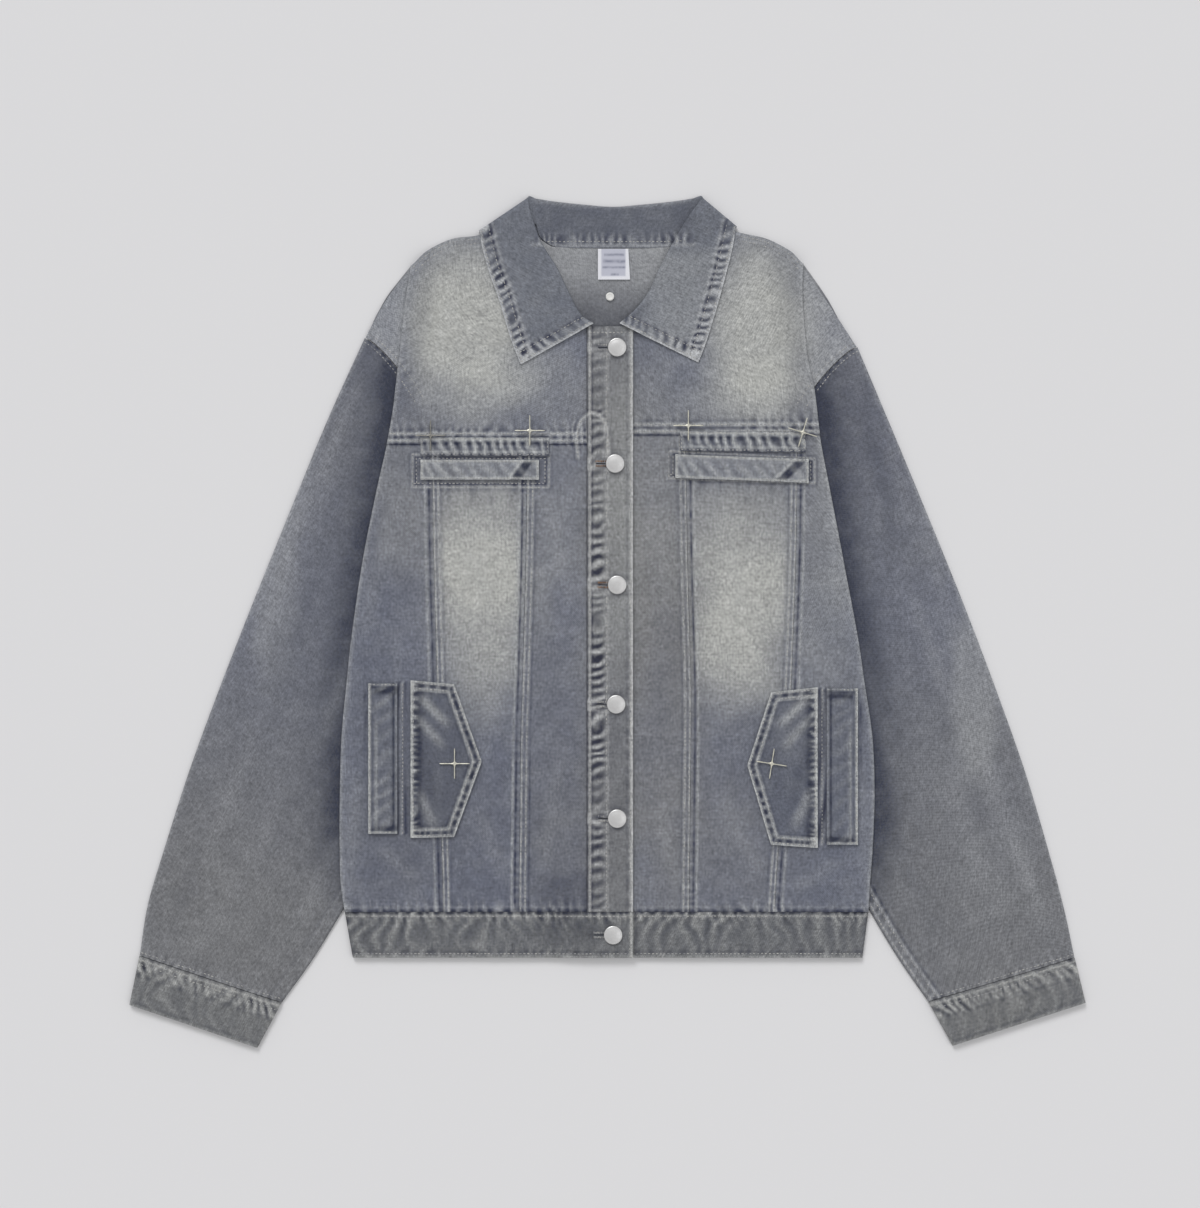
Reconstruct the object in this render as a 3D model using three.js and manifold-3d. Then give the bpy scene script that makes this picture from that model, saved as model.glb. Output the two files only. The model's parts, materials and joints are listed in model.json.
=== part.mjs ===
// A denim jacket laid flat with its front up. Millimetres, collar towards +Y, +Z up from the surface.
// Left and right are as seen from above. The sleeves lie under the body, whose sides fold over them.
import * as THREE from "three";
import { mergeVertices } from "three/addons/utils/BufferGeometryUtils.js";
import Module from "manifold-3d";

const wasm = await Module();
wasm.setup();

// Driving sizes: cloth and the gaps between pieces
const CLOTH = 1.2; // one layer of denim
const DOUBLED = 2.2; // two layers sewn together: placket, bands, welts and flaps
const LABEL_CLOTH = 1.0;
const SEAM = 0.3; // between pieces sewn edge to edge
const LIFT = 0.45; // between a piece and the panel that it lies on
const HIDDEN_SEAM = 2; // between two curved edges sewn together where nothing shows

// Driving sizes: heights of the middle of each layer above the surface
const BACK_Z = CLOTH / 2;
const SLEEVE_Z = 2.4; // top layer of a sleeve where the body presses on it
const SLEEVE_CROWN = 2.3; // how much higher it lies where it is free
const TUCK_Z = 2.3; // lowest layer of the fold along the armhole
const RETURN_Z = 4.0; // the front turned under at its side
const FRONT_Z = 3.6;
const FRONT_OVER_SLEEVE_Z = 5.7;
const FALL_RAISE = 1.5; // the back panel over the collar's fall
const BAND_Z = 1.1;
const BAND_FRONT_Z = 4.2;

// Driving sizes: body
const CHEST_SEAM = { Left: 160, Right: 168.5 };
const HEM_Y = -260;
const BAND_DEPTH = 41;
const CUFF_DEPTH = 45;
const ROPING = 22; // from one ridge of the bands to the next
const PLACKET = { left: -18.4, right: 23, top: 266, z: 5 };
const UNDERLAP_X = -8.6; // edge of the right front under the placket
const TUCK = 4; // depth of the armhole fold at the shoulder

// Driving sizes: trims
const BUTTON = { radius: 8.5, shank: 3, eye: 3.6, slit: 1.6, slitLength: 17 };
const BUTTON_SPOTS = [
  [8.6, 247.1],
  [6.8, 142.7],
  [8.6, 33.8],
  [7.7, -73.4],
  [8.6, -176],
  [5, -280.4],
];
const STUD = { arm: 12, waist: 1.45, belly: 2.15, tip: 0.7, thickness: 1.4, bevel: 0.4 };

// Names the columns of a short table of sizes.
const table = (columns, rows) =>
  rows.map((row) => Object.fromEntries(columns.map((name, i) => [name, row[i]])));

// Edges and seams of the lower front at some heights, from the chest seam to the hem
const FRONT = table(
  ["y", "foldLeft", "outerLeft", "innerLeft", "innerRight", "outerRight", "foldRight"],
  [
    [175, -195.8, -158.5, -71.5, 69.5, 170.5, 190],
    [159, -198.5, -158, -71.5, 70, 170.5, 192.3],
    [119, -207.5, -157, -72.5, 71, 170, 200],
    [56, -220, -156, -73.5, 72, 169, 212],
    [-16, -230.5, -154, -75.5, 74, 166.5, 225.5],
    [-54, -234.5, -153, -76.5, 75, 165, 231],
    [-102, -239, -151.5, -78, 75, 162, 238],
    [-151, -240.5, -150, -78.5, 74.5, 158, 240],
    [-199, -240.8, -149, -79, 74, 154, 238.5],
    [-234, -239.8, -148, -79.5, 73.5, 151.5, 236],
    [-262, -236, -147.5, -79.5, 73.5, 150, 234.5],
  ],
);

// Outlines that differ from side to side, each from the collar outwards or from the top down
const SIDES = {
  Left: {
    sign: -1,
    shoulder: [[-73, 374.5], [-92, 363], [-113.5, 348.8], [-139, 345], [-160, 335.5], [-176.8, 320.9]],
    fold: [[-176.8, 320.9], [-182.2, 285], [-185.8, 253.3], [-189.5, 221], [-193.1, 190.3], [-198.4, 160]],
    neck: [[-73, 374.5], [-70.5, 352], [-67.5, 335], [-58, 305], [-45, 283], [-29, 270], [-18.7, 265.3]],
    centre: -18.7,
    sleeveTop: [-217.3, 256.1],
    sleeveTopBulge: 3.5,
    underarm: [-119.2, 56.2],
  },
  Right: {
    sign: 1,
    shoulder: [[84.5, 376], [98, 365], [113.8, 352], [142.7, 345], [163.3, 334.4], [176, 322.7]],
    fold: [[176, 322.7], [175.5, 290.2], [179.6, 240.8], [185.8, 211.1], [191, 168.5]],
    neck: [[84.5, 376], [82.5, 352], [76.5, 333], [66.5, 304], [52, 283], [36, 270.5], [24, 266],
      [-8.6, 265.3]],
    centre: UNDERLAP_X,
    sleeveTop: [223.7, 248],
    sleeveTopBulge: 0.7,
    underarm: [121, 56.2],
  },
};
const ARMHOLE_BULGE = 19;

// Both edges of each sleeve at some places from the armhole to the cuff seam
const SLEEVE_EDGES = ["outerX", "outerY", "innerX", "innerY"];
SIDES.Left.sleeve = table(SLEEVE_EDGES, [
  [-217.3, 256.1, -119.2, 56.2],
  [-249.8, 185, -130.1, 11.2],
  [-282.2, 106.7, -143.6, -38.2],
  [-318.2, 18.4, -164.2, -101.2],
  [-347.9, -57.1, -186.8, -159.8],
  [-375.8, -132.8, -212, -213.8],
  [-400.1, -208.3, -239.5, -261.4],
  [-413.6, -254.2, -265.1, -302.9],
  [-420.8, -299.2, -292.9, -341.6],
]);
SIDES.Right.sleeve = table(SLEEVE_EDGES, [
  [223.7, 248, 121, 56.2],
  [246.2, 194.8, 130.1, 11.2],
  [283.1, 106.7, 142.7, -38.2],
  [319.1, 18.4, 163.3, -101.2],
  [347.9, -57.1, 185.8, -159.8],
  [374.9, -132.8, 211.1, -213.8],
  [397.4, -208.3, 238, -263.2],
  [410.9, -258.8, 261.4, -301.9],
  [419.9, -301.1, 288.4, -340.7],
]);
SIDES.Left.cuffEnd = { outerX: -429.8, outerY: -343.4, innerX: -314.6, innerY: -382.1 };
SIDES.Right.cuffEnd = { outerX: 429.8, outerY: -341.6, innerX: 310.1, innerY: -380.2 };

// The side seam, where the front turned under meets the back, on each side of the middle
const SIDE_SEAM = [
  [119.2, 56.2], [159.8, 20.2], [200.2, -24.8], [218.2, -87.8], [224.6, -159.8], [226.3, -260],
];
const BACK_NECK = [
  [-73, 374.5], [-69.5, 362], [-64, 347], [-51, 338], [-29, 336.4], [5, 336.3], [38, 336.4], [60, 338],
  [73.5, 347], [81, 362], [84.5, 376],
];

// The collar from its right point round the back neck to its left one, as seen from above: the neck edge,
// the roll where the stand turns into the fall, and the fall's outer edge. Layer: 1 the fall lies on the
// front, 0 it passes the shoulder, -1 it lies under the back.
const COLLAR = table(
  ["neckX", "neckY", "rollX", "rollY", "edgeX", "edgeY", "layer"],
  [
    [14, 267.4, 10.4, 268.6, 81.5, 233.6, 1],
    [33.8, 272.3, 23.9, 280.4, 86.9, 247.1, 1],
    [50.9, 284.9, 36.5, 296.6, 92.3, 263.3, 1],
    [64.4, 304.7, 47.3, 320, 100.4, 290.3, 1],
    [74.3, 333.5, 60.8, 345.2, 107.6, 317.3, 1],
    [79.6, 351.5, 75.2, 368.6, 113, 339.8, 1],
    [76.9, 358.7, 85, 382.1, 116.5, 355.9, 0],
    [69.8, 346.1, 72.5, 380.7, 97.7, 335.3, -1],
    [56.2, 338, 56.2, 378.4, 68, 323, -1],
    [30, 336.9, 30.2, 375.8, 38, 319.1, -1],
    [5, 336.8, 5, 373.9, 5, 319.1, -1],
    [-20, 336.9, -20.2, 375.8, -29, 319.1, -1],
    [-46.4, 338, -45.5, 378.4, -60.8, 322.7, -1],
    [-59.9, 346.1, -60.8, 380.7, -87.8, 333.4, -1],
    [-66, 358.7, -71.5, 382.1, -115.7, 352.4, 0],
    [-68.9, 351.5, -68.9, 368.6, -113, 338.9, 1],
    [-65.3, 333.5, -59.9, 342.5, -106.7, 315.5, 1],
    [-55.4, 306.5, -45.5, 319.1, -97.7, 290.3, 1],
    [-42.8, 284.9, -34.7, 296.6, -89.6, 263.3, 1],
    [-27.5, 272.3, -23.9, 276.8, -84.2, 247.1, 1],
    [-16, 267.4, -12.2, 268.6, -77.9, 231.8, 1],
  ],
);
const COLLAR_Z = { neckBack: 2.1, neckFront: 4, neckTip: 5.4, roll: 1.8, puff: 1.8 };

// Soft folds of the fronts and sleeves: a ridge or trough along a line
const FOLDS = table(
  ["x0", "y0", "x1", "y1", "width", "height"],
  [
    [228, 230, 290, -20, 16, -0.9],
    [265, 215, 330, -60, 22, 0.7],
    [-228, 215, -300, 20, 20, 0.7],
    [-262, 60, -330, -150, 24, -0.8],
    [300, -120, 350, -260, 18, 0.7],
    [-300, -170, -340, -290, 18, 0.6],
    [-120, 300, -60, 190, 22, -0.15],
    [120, 300, 60, 200, 22, -0.15],
    [-110, 110, -120, -30, 18, 0.3],
    [118, 110, 125, -30, 18, 0.3],
    [110, -60, 118, -240, 16, -0.25],
    [-112, -60, -105, -240, 16, -0.25],
  ],
);

// Places of the pieces that lie on the fronts: middle, size and slope from left to right
const LAID = table(
  ["name", "x0", "x1", "y0", "y1", "rise", "thickness", "ripples"],
  [
    ["chest_strip_left", -167.8, -52.6, 149.8, 166.2, 0, CLOTH, 9],
    ["chest_strip_right", 65.2, 177.8, 154.3, 172.3, -1.5, CLOTH, 9],
    ["chest_welt_left", -167.8, -61.6, 128.2, 146.2, 0, DOUBLED, 0],
    ["chest_welt_right", 60.8, 180.5, 129.8, 151.2, -4.5, DOUBLED, 0],
    ["pocket_welt_left", -214.7, -188.6, -189.5, -54.5, 0, DOUBLED, 0],
    ["pocket_welt_right", 196.7, 224.6, -199.3, -59, 0, DOUBLED, 0],
  ],
);
const FLAPS = table(
  ["name", "seamX", "seamTop", "seamLow", "shoulderX", "shoulderTop", "shoulderLow", "pointX", "pointY"],
  [
    ["pocket_flap_left", -176.8, -51.8, -193.1, -137.7, -55.4, -192.4, -113, -124.7],
    ["pocket_flap_right", 188.6, -58.1, -202.1, 146.7, -62.6, -199.3, 125.5, -128.2],
  ],
);
// The studs: middle, turn in degrees, and how many layers of trim lie under them
const STUDS = table(
  ["x", "y", "turn", "under"],
  [
    [-69.8, 172.3, 0, CLOTH],
    [-158.8, 167.8, 0, CLOTH],
    [72.5, 176.8, 0, CLOTH],
    [175.1, 170.6, -17, CLOTH],
    [-137.2, -126.5, 0, DOUBLED],
    [147.2, -126.5, -9, DOUBLED],
  ],
);

// Colours from the photograph
const COLOUR = {
  denim: 0x6f747e,
  faded: 0x9a9b9c,
  inside: 0x868a8c,
  band: 0x6c6f76,
  metal: 0xbcbcb8,
  label: 0xd8d9de,
};

const { clamp, lerp, smoothstep } = THREE.MathUtils;
const jacket = new THREE.Group();

function add(name, geometry, colour = COLOUR.denim, roughness = 0.9, metalness = 0) {
  const material = new THREE.MeshStandardMaterial({ color: colour, roughness, metalness });
  const mesh = new THREE.Mesh(geometry, material);
  mesh.name = name;
  jacket.add(mesh);
}

// A point t of the way along a line of points, by length.
function along(points, t) {
  const lengths = points.slice(1).map((p, i) => Math.hypot(p[0] - points[i][0], p[1] - points[i][1]));
  let rest = clamp(t, 0, 1) * lengths.reduce((a, b) => a + b, 0);
  let i = 0;
  while (i < lengths.length - 1 && rest > lengths[i]) rest -= lengths[i++];
  const f = rest / lengths[i];
  return [lerp(points[i][0], points[i + 1][0], f), lerp(points[i][1], points[i + 1][1], f)];
}

// A few points joined by a smooth curve, as a closer line of points.
function smooth(points) {
  const curve = new THREE.CatmullRomCurve3(points.map(([x, y]) => new THREE.Vector3(x, y, 0)));
  return curve.getPoints(points.length * 5).map((p) => [p.x, p.y]);
}

// One column of a table at any height y, smoothly between its rows.
function atHeight(rows, column, y) {
  const last = rows.length - 1;
  const k = clamp(rows.findIndex((row) => row.y <= y), 1, last);
  const slope = (i) => {
    const a = rows[Math.max(i - 1, 0)];
    const b = rows[Math.min(i + 1, last)];
    return (b[column] - a[column]) / (b.y - a.y);
  };
  const span = rows[k].y - rows[k - 1].y;
  const f = clamp((y - rows[k - 1].y) / span, 0, 1);
  const start = rows[k - 1][column] * (1 + 2 * f) + f * span * slope(k - 1);
  const end = rows[k][column] * (3 - 2 * f) - (1 - f) * span * slope(k);
  return (1 - f) ** 2 * start + f ** 2 * end;
}

// The x of a line of points, listed from the top down, at a height y.
function xAt(points, y) {
  const k = clamp(points.findIndex((p) => p[1] <= y), 1, points.length - 1);
  const [a, b] = [points[k - 1], points[k]];
  return lerp(a[0], b[0], clamp((y - a[1]) / (b[1] - a[1]), 0, 1));
}

for (const side of Object.values(SIDES)) {
  const [top, low] = [side.sleeveTop, side.underarm];
  const across = [low[0] - top[0], low[1] - top[1]];
  const length = Math.hypot(...across);
  const inward = [(across[1] / length) * side.sign, (-across[0] / length) * side.sign];
  side.armhole = (u) => {
    const bulge = ARMHOLE_BULGE * Math.sin(Math.PI * u ** 0.75);
    return [top[0] + across[0] * u + inward[0] * bulge, top[1] + across[1] * u + inward[1] * bulge];
  };
  side.armholeLine = Array.from({ length: 41 }, (_, i) => side.armhole(i / 40));
  side.innerLine = smooth(side.sleeve.map((row) => [row.innerX, row.innerY]));
  side.outerLine = smooth(side.sleeve.map((row) => [row.outerX, row.outerY]));
  side.foldLine = smooth(side.fold);
  side.shoulderLine = smooth(side.shoulder);
  side.sideSeamLine = smooth(SIDE_SEAM).map(([x, y]) => [x * side.sign, y]);
}

const sideOf = (x) => (x < 0 ? SIDES.Left : SIDES.Right);

function foldX(side, y) {
  const column = side.sign < 0 ? "foldLeft" : "foldRight";
  return y > side.fold.at(-1)[1] ? xAt(side.foldLine, y) : atHeight(FRONT, column, y);
}

// 0 in the middle of the body, 1 where the body lies over a sleeve.
function overSleeve(x, y) {
  const side = sideOf(x);
  const line = y > side.underarm[1] ? side.armholeLine : side.innerLine;
  const outward = (x - xAt(line, y)) * side.sign * 0.85;
  return smoothstep(outward, -60, -12);
}

// Height of the soft folds at a place.
function softFold(x, y) {
  let height = 0;
  for (const f of FOLDS) {
    const [dx, dy] = [f.x1 - f.x0, f.y1 - f.y0];
    const t = ((x - f.x0) * dx + (y - f.y0) * dy) / (dx * dx + dy * dy);
    const away = ((x - f.x0) * dy - (y - f.y0) * dx) / Math.hypot(dx, dy) / f.width;
    const ends = smoothstep(t, -0.15, 0.3) * (1 - smoothstep(t, 0.7, 1.15));
    height += f.height * ends * Math.exp(-away * away);
  }
  return height;
}

function backZ(x, y) {
  const [, armpit] = sideOf(x).underarm;
  const fall = smoothstep(y, 235, 268) * (1 - smoothstep(Math.abs(x), 128, 150));
  const below = 1 - smoothstep(y, armpit, armpit + 25);
  return BACK_Z + (RETURN_Z - BACK_Z) * overSleeve(x, y) * below + FALL_RAISE * fall;
}

function frontZ(x, y) {
  const low = (1 - smoothstep(x, 28, 60)) * smoothstep(x, -10, -9); // the right front under the placket
  const high = smoothstep(x, -50, -24) * (1 - smoothstep(x, -10, -9));
  const over = overSleeve(x, y);
  return FRONT_Z - 0.6 * low + 0.5 * high + (FRONT_OVER_SLEEVE_Z - FRONT_Z) * over + softFold(x, y);
}

const frontTop = (x, y) => frontZ(x, y) + CLOTH / 2;

// A closed wall whose middle follows a grid of points. Relief raises its upper face.
function wall(grid, thickness, { ring = false, relief = () => 0 } = {}) {
  const [nu, nv] = [grid.length, grid[0].length];
  const at = (i, j) => grid[ring ? (i + nu) % nu : clamp(i, 0, nu - 1)][clamp(j, 0, nv - 1)];
  const positions = [];
  for (const face of [1, -1])
    for (let i = 0; i < nu; i++)
      for (let j = 0; j < nv; j++) {
        const du = at(i + 1, j).clone().sub(at(i - 1, j));
        const dv = at(i, j + 1).clone().sub(at(i, j - 1));
        const normal = du.cross(dv).normalize();
        const raised = face * normal.z > 0.3 ? relief(grid[i][j].x, grid[i][j].y) : 0;
        const p = grid[i][j].clone().addScaledVector(normal, face * (thickness / 2 + raised));
        positions.push(p.x, p.y, p.z);
      }
  const outer = (i, j) => (i % nu) * nv + j;
  const inner = (i, j) => outer(i, j) + nu * nv;
  const index = [];
  const quad = (a, b, c, d) => index.push(a, b, c, a, c, d);
  const [iEnd, jEnd] = [ring ? nu : nu - 1, nv - 1];
  for (let i = 0; i < iEnd; i++) {
    for (let j = 0; j < jEnd; j++) {
      quad(outer(i, j), outer(i + 1, j), outer(i + 1, j + 1), outer(i, j + 1));
      quad(inner(i, j), inner(i, j + 1), inner(i + 1, j + 1), inner(i + 1, j));
    }
    quad(outer(i + 1, 0), outer(i, 0), inner(i, 0), inner(i + 1, 0));
    quad(outer(i, jEnd), outer(i + 1, jEnd), inner(i + 1, jEnd), inner(i, jEnd));
  }
  if (!ring)
    for (let j = 0; j < jEnd; j++) {
      quad(outer(0, j), outer(0, j + 1), inner(0, j + 1), inner(0, j));
      quad(outer(iEnd, j + 1), outer(iEnd, j), inner(iEnd, j), inner(iEnd, j + 1));
    }
  const geometry = new THREE.BufferGeometry();
  geometry.setAttribute("position", new THREE.Float32BufferAttribute(positions, 3));
  return geometry.setIndex(index);
}

const vec = (x, y, z) => new THREE.Vector3(x, y, z);
const steps = (n) => Array.from({ length: n + 1 }, (_, k) => k / n);
const gridOf = (nu, nv, pointAt) => steps(nu).map((u) => steps(nv).map((v) => pointAt(u, v)));

// A patch between four edges, u across and v down. Each edge is a function from 0 to 1.
const patch = (top, low, first, last) => (u, v) => {
  const corners = [top(0), top(1), low(0), low(1)];
  const [t, l, f, e] = [top(u), low(u), first(v), last(v)];
  return [0, 1].map(
    (k) =>
      (1 - v) * t[k] + v * l[k] + (1 - u) * f[k] + u * e[k] -
      (1 - u) * (1 - v) * corners[0][k] - u * (1 - v) * corners[1][k] -
      (1 - u) * v * corners[2][k] - u * v * corners[3][k],
  );
};

// How far inside its silhouette a turn of cloth between two layers has its centre.
const turnDepth = (zFrom, zTo, thickness = CLOTH) => Math.abs(zFrom - zTo) / 2 + thickness / 2;

// A turn of cloth from one layer to another, round an edge that faces outward.
function turn([x, y], [outX, outY], zFrom, zTo, thickness = CLOTH) {
  return [1, 2, 3].map((k) => {
    const angle = (Math.PI * k) / 4;
    const out = (Math.abs(zFrom - zTo) / 2) * Math.sin(angle) - turnDepth(zFrom, zTo, thickness);
    const z = (zFrom + zTo) / 2 + (Math.cos(angle) * (zFrom - zTo)) / 2;
    return vec(x + outX * out, y + outY * out, z);
  });
}

// The back in one piece. Its columns meet the corners of the neck edge, and one of its rows the underarms.
function makeBack() {
  const { Left, Right } = SIDES;
  const armholeRows = 5;
  const rows = 13;
  const shoulderColumns = 7;
  const edge = (side, j) =>
    j <= armholeRows
      ? along(side.armholeLine, j / armholeRows)
      : along(side.sideSeamLine, (j - armholeRows) / (rows - armholeRows));
  const sleeveTops = {
    left: smooth([Left.sleeveTop, [-212, 270.5], [-204.8, 283.1], [-196.7, 295.7], [-176.8, 320.9]]),
    right: smooth([[176, 322.7], [194.9, 295.7], [210, 270.5], Right.sleeveTop]),
  };
  const shoulders = {
    left: [...sleeveTops.left, ...[...Left.shoulderLine].reverse().slice(1)],
    right: [...Right.shoulderLine, ...sleeveTops.right.slice(1)],
  };
  const top = [
    ...steps(shoulderColumns).map((t) => along(shoulders.left, t)),
    ...BACK_NECK.slice(1, -1),
    ...steps(shoulderColumns).map((t) => along(shoulders.right, t)),
  ];
  const columns = top.length - 1;
  const grid = top.map((_, i) => {
    const u = i / columns;
    return steps(rows).map((v, j) => {
      const [left, right] = [edge(Left, j), edge(Right, j)];
      const inset = HIDDEN_SEAM * (Math.max(0, 1 - 12 * u) - Math.max(0, 12 * u - 11));
      const topShare = Math.max(0, 1 - j / armholeRows) ** 1.5;
      const [x, y] = [0, 1].map((k) => {
        const bump = top[i][k] - lerp(top[0][k], top[columns][k], u);
        return lerp(left[k], right[k], u) + bump * topShare;
      });
      return vec(x + inset, y, backZ(x, y));
    });
  });
  add("back_panel", wall(grid, CLOTH), COLOUR.inside);
}

// Brings the front up to its full height at the side fold, over the layers turned under.
const nearFold = (x, y, z) =>
  lerp(z, FRONT_OVER_SLEEVE_Z, 1 - smoothstep(Math.abs(x - foldX(sideOf(x), y)), 6, 26));

// From the shoulder to the chest seam. Beyond the fold along the armhole it turns under and comes out again
// to the armhole seam, which shows at the shoulder.
function makeYoke(name, side, seamY) {
  const seam = [[side.fold.at(-1)[0], seamY], [side.centre, seamY]];
  const inner = [...side.neck, [side.centre, seamY]];
  const shape = patch(
    (u) => along(side.shoulderLine, 1 - u),
    (u) => along(seam, u),
    (v) => along(side.foldLine, v),
    (v) => along(inner, v),
  );
  const armholeEnd = side.armholeLine.findIndex((p) => p[1] < seamY) / 40;
  const topZ = (x, y, v) => {
    const sewn = lerp(backZ(x, y) + CLOTH + LIFT, frontZ(x, y), smoothstep(v, 0, 0.1));
    return nearFold(x, y, sewn);
  };
  const foldDepth = turnDepth(FRONT_OVER_SLEEVE_Z, RETURN_Z);
  const tuckDepth = turnDepth(RETURN_Z, TUCK_Z);
  const bulge = [-0.85 * side.sleeveTopBulge, 0.53 * side.sleeveTopBulge];
  const rows = Array.from({ length: 11 }, (_, j) => {
    const v = j / 10;
    const seamInset = v === 1 ? SEAM / 2 : 0;
    const fold = shape(0, v);
    const end = side.armhole(armholeEnd * v);
    const inward = Math.max(-side.sign * fold[0] + TUCK, -side.sign * end[0] + 2 * tuckDepth + 1);
    const tuck = [-side.sign * inward, fold[1]];
    const top = Array.from({ length: 10 }, (_, k) => {
      const u = 1 - k / 9;
      const [x, y] = shape(u, v);
      const inset = -side.sign * foldDepth * Math.max(0, 1 - 8 * u);
      return vec(x + inset, y, topZ(x, y, v));
    });
    const under = [0, 1].map((f) => {
      const from = fold[0] - side.sign * foldDepth;
      return vec(lerp(from, tuck[0] + side.sign * tuckDepth, f), fold[1], RETURN_Z);
    });
    const low = [0, 0.33, 0.67, 1].map((f) => {
      const rise = (1 - v) ** 3 * Math.sin(Math.PI * f);
      const x = lerp(tuck[0] + side.sign * tuckDepth, end[0], f) - side.sign * bulge[0] * rise;
      return vec(x, lerp(tuck[1], end[1], f) + bulge[1] * rise, TUCK_Z);
    });
    const row = [
      ...top,
      ...turn(fold, [side.sign, 0], FRONT_OVER_SLEEVE_Z, RETURN_Z),
      ...under,
      ...turn(tuck, [-side.sign, 0], RETURN_Z, TUCK_Z),
      ...low,
    ];
    return row.map((p) => p.setY(p.y + seamInset));
  });
  const grid = rows[0].map((_, i) => rows.map((row) => row[i]));
  add(name, wall(grid, CLOTH), COLOUR.faded);
}

// A lower front panel between two seams, from the chest seam to the waistband.
const PANEL_ROWS = 13;
function makePanel(name, columns, seamY, xFrom, xTo) {
  const grid = gridOf(columns, PANEL_ROWS, (u, v) => {
    const y = lerp(HEM_Y, seamY - SEAM / 2, v);
    const x = lerp(xFrom(y), xTo(y), u);
    return vec(x, y, frontZ(x, y));
  });
  add(name, wall(grid, CLOTH));
}

// The side front: from its outer seam round the side fold and back to the armhole and the side seam.
function makeSideFront(name, side, seamY) {
  const column = side.sign < 0 ? "outerLeft" : "outerRight";
  const depth = turnDepth(FRONT_OVER_SLEEVE_Z, RETURN_Z);
  const rows = Array.from({ length: PANEL_ROWS + 1 }, (_, j) => {
    const y = lerp(HEM_Y, seamY - SEAM / 2, 1 - j / PANEL_ROWS);
    const fold = foldX(side, y);
    const from = atHeight(FRONT, column, y) + (side.sign * SEAM) / 2;
    const end = xAt(y > side.underarm[1] ? side.armholeLine : side.sideSeamLine, y);
    const top = Array.from({ length: 7 }, (_, k) => {
      const x = lerp(from, fold - side.sign * depth, k / 6);
      return vec(x, y, nearFold(x, y, frontZ(x, y)));
    });
    const under = [0, 0.33, 0.67, 1].map((f) => {
      const x = lerp(fold - side.sign * depth, end, f);
      return vec(x, y, f === 0 ? RETURN_Z : BACK_Z + (RETURN_Z - BACK_Z) * overSleeve(x, y));
    });
    return [...top, ...turn([fold, y], [side.sign, 0], FRONT_OVER_SLEEVE_Z, RETURN_Z), ...under];
  });
  add(name, wall(rows[0].map((_, i) => rows.map((row) => row[i])), CLOTH));
}

// A closed flat tube between an outer and an inner edge: its upper layer, a turn, its lower layer, a turn.
// Warp moves a point, w of the way from the inner to the outer edge and v of the way down the tube.
function flatTube({ rows, edgesAt, warp = (p) => p, lowZ, edgeZ, topZ, thickness, across, below }) {
  const depth = turnDepth(edgeZ, lowZ, thickness);
  const grid = steps(rows).map((v) => {
    const [outer, inner] = edgesAt(v).map((p, k) => warp(p, 1 - k, v));
    const width = Math.hypot(outer[0] - inner[0], outer[1] - inner[1]);
    const out = [(outer[0] - inner[0]) / width, (outer[1] - inner[1]) / width];
    const between = (w) => [0, 1].map((k) => lerp(inner[k] + out[k] * depth, outer[k] - out[k] * depth, w));
    const at = (w) => warp(between(w), w, v);
    return [
      ...steps(across).map((w) => vec(...at(w), topZ(...at(w), w, v))),
      ...turn(outer, out, edgeZ, lowZ, thickness),
      ...steps(below).map((w) => vec(...at(1 - w), lowZ)),
      ...turn(inner, out.map((n) => -n), lowZ, edgeZ, thickness),
    ];
  });
  const ring = grid[0].map((_, i) => grid.map((row) => row[i]));
  return ring[1][0].x > ring[0][0].x ? ring.reverse() : ring;
}

function makeSleeve(name, side) {
  const edgesAt = (v) => [along(side.outerLine, v), along(side.innerLine, v)];
  const [top, low] = [side.sleeveTop, side.underarm];
  // Near the armhole the end of the tube follows its curve, and each end keeps clear of its seam.
  const warp = ([x, y], w, v) => {
    const fade = Math.max(0, 1 - 3 * v) ** 2;
    const [curveX, curveY] = side.armhole(1 - w);
    const bulge = [curveX - lerp(low[0], top[0], w), curveY - lerp(low[1], top[1], w)];
    const inset = lerp(0.4 * HIDDEN_SEAM, -SEAM / 2, v);
    return [x + bulge[0] * fade + side.sign * inset, y + bulge[1] * fade + Math.min(0, inset) * -1];
  };
  const topZ = (x, y, w, v) => {
    const away = y > HEM_Y - 10 ? (x - foldX(side, y)) * side.sign : 200;
    const free = smoothstep(away, 3, 55) * smoothstep(v, 0, 0.12);
    const edge = Math.sin(Math.PI * w) ** 0.6 || 0;
    return SLEEVE_Z + (SLEEVE_CROWN + softFold(x, y)) * edge * free;
  };
  const sizes = { rows: 12, lowZ: BACK_Z, edgeZ: SLEEVE_Z, thickness: CLOTH, across: 8, below: 4 };
  add(name, wall(flatTube({ ...sizes, edgesAt, warp, topZ }), CLOTH, { ring: true }));
}

function makeCuff(name, side) {
  const seam = side.sleeve.at(-1);
  const end = side.cuffEnd;
  const edgesAt = (v) => {
    const w = lerp(SEAM / CUFF_DEPTH, 1, v);
    return ["outer", "inner"].map((edge) => ["X", "Y"].map((k) => lerp(seam[edge + k], end[edge + k], w)));
  };
  const relief = (x, y) => 0.4 * Math.max(0, Math.sin((Math.PI * 2 * (x - side.sign * 0.4 * y)) / ROPING));
  const sizes = { rows: 2, lowZ: BAND_Z, edgeZ: BAND_FRONT_Z, thickness: DOUBLED, across: 24, below: 4 };
  const ring = flatTube({ ...sizes, edgesAt, topZ: () => BAND_FRONT_Z });
  add(name, wall(ring, DOUBLED, { ring: true, relief }), COLOUR.band);
}

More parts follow.
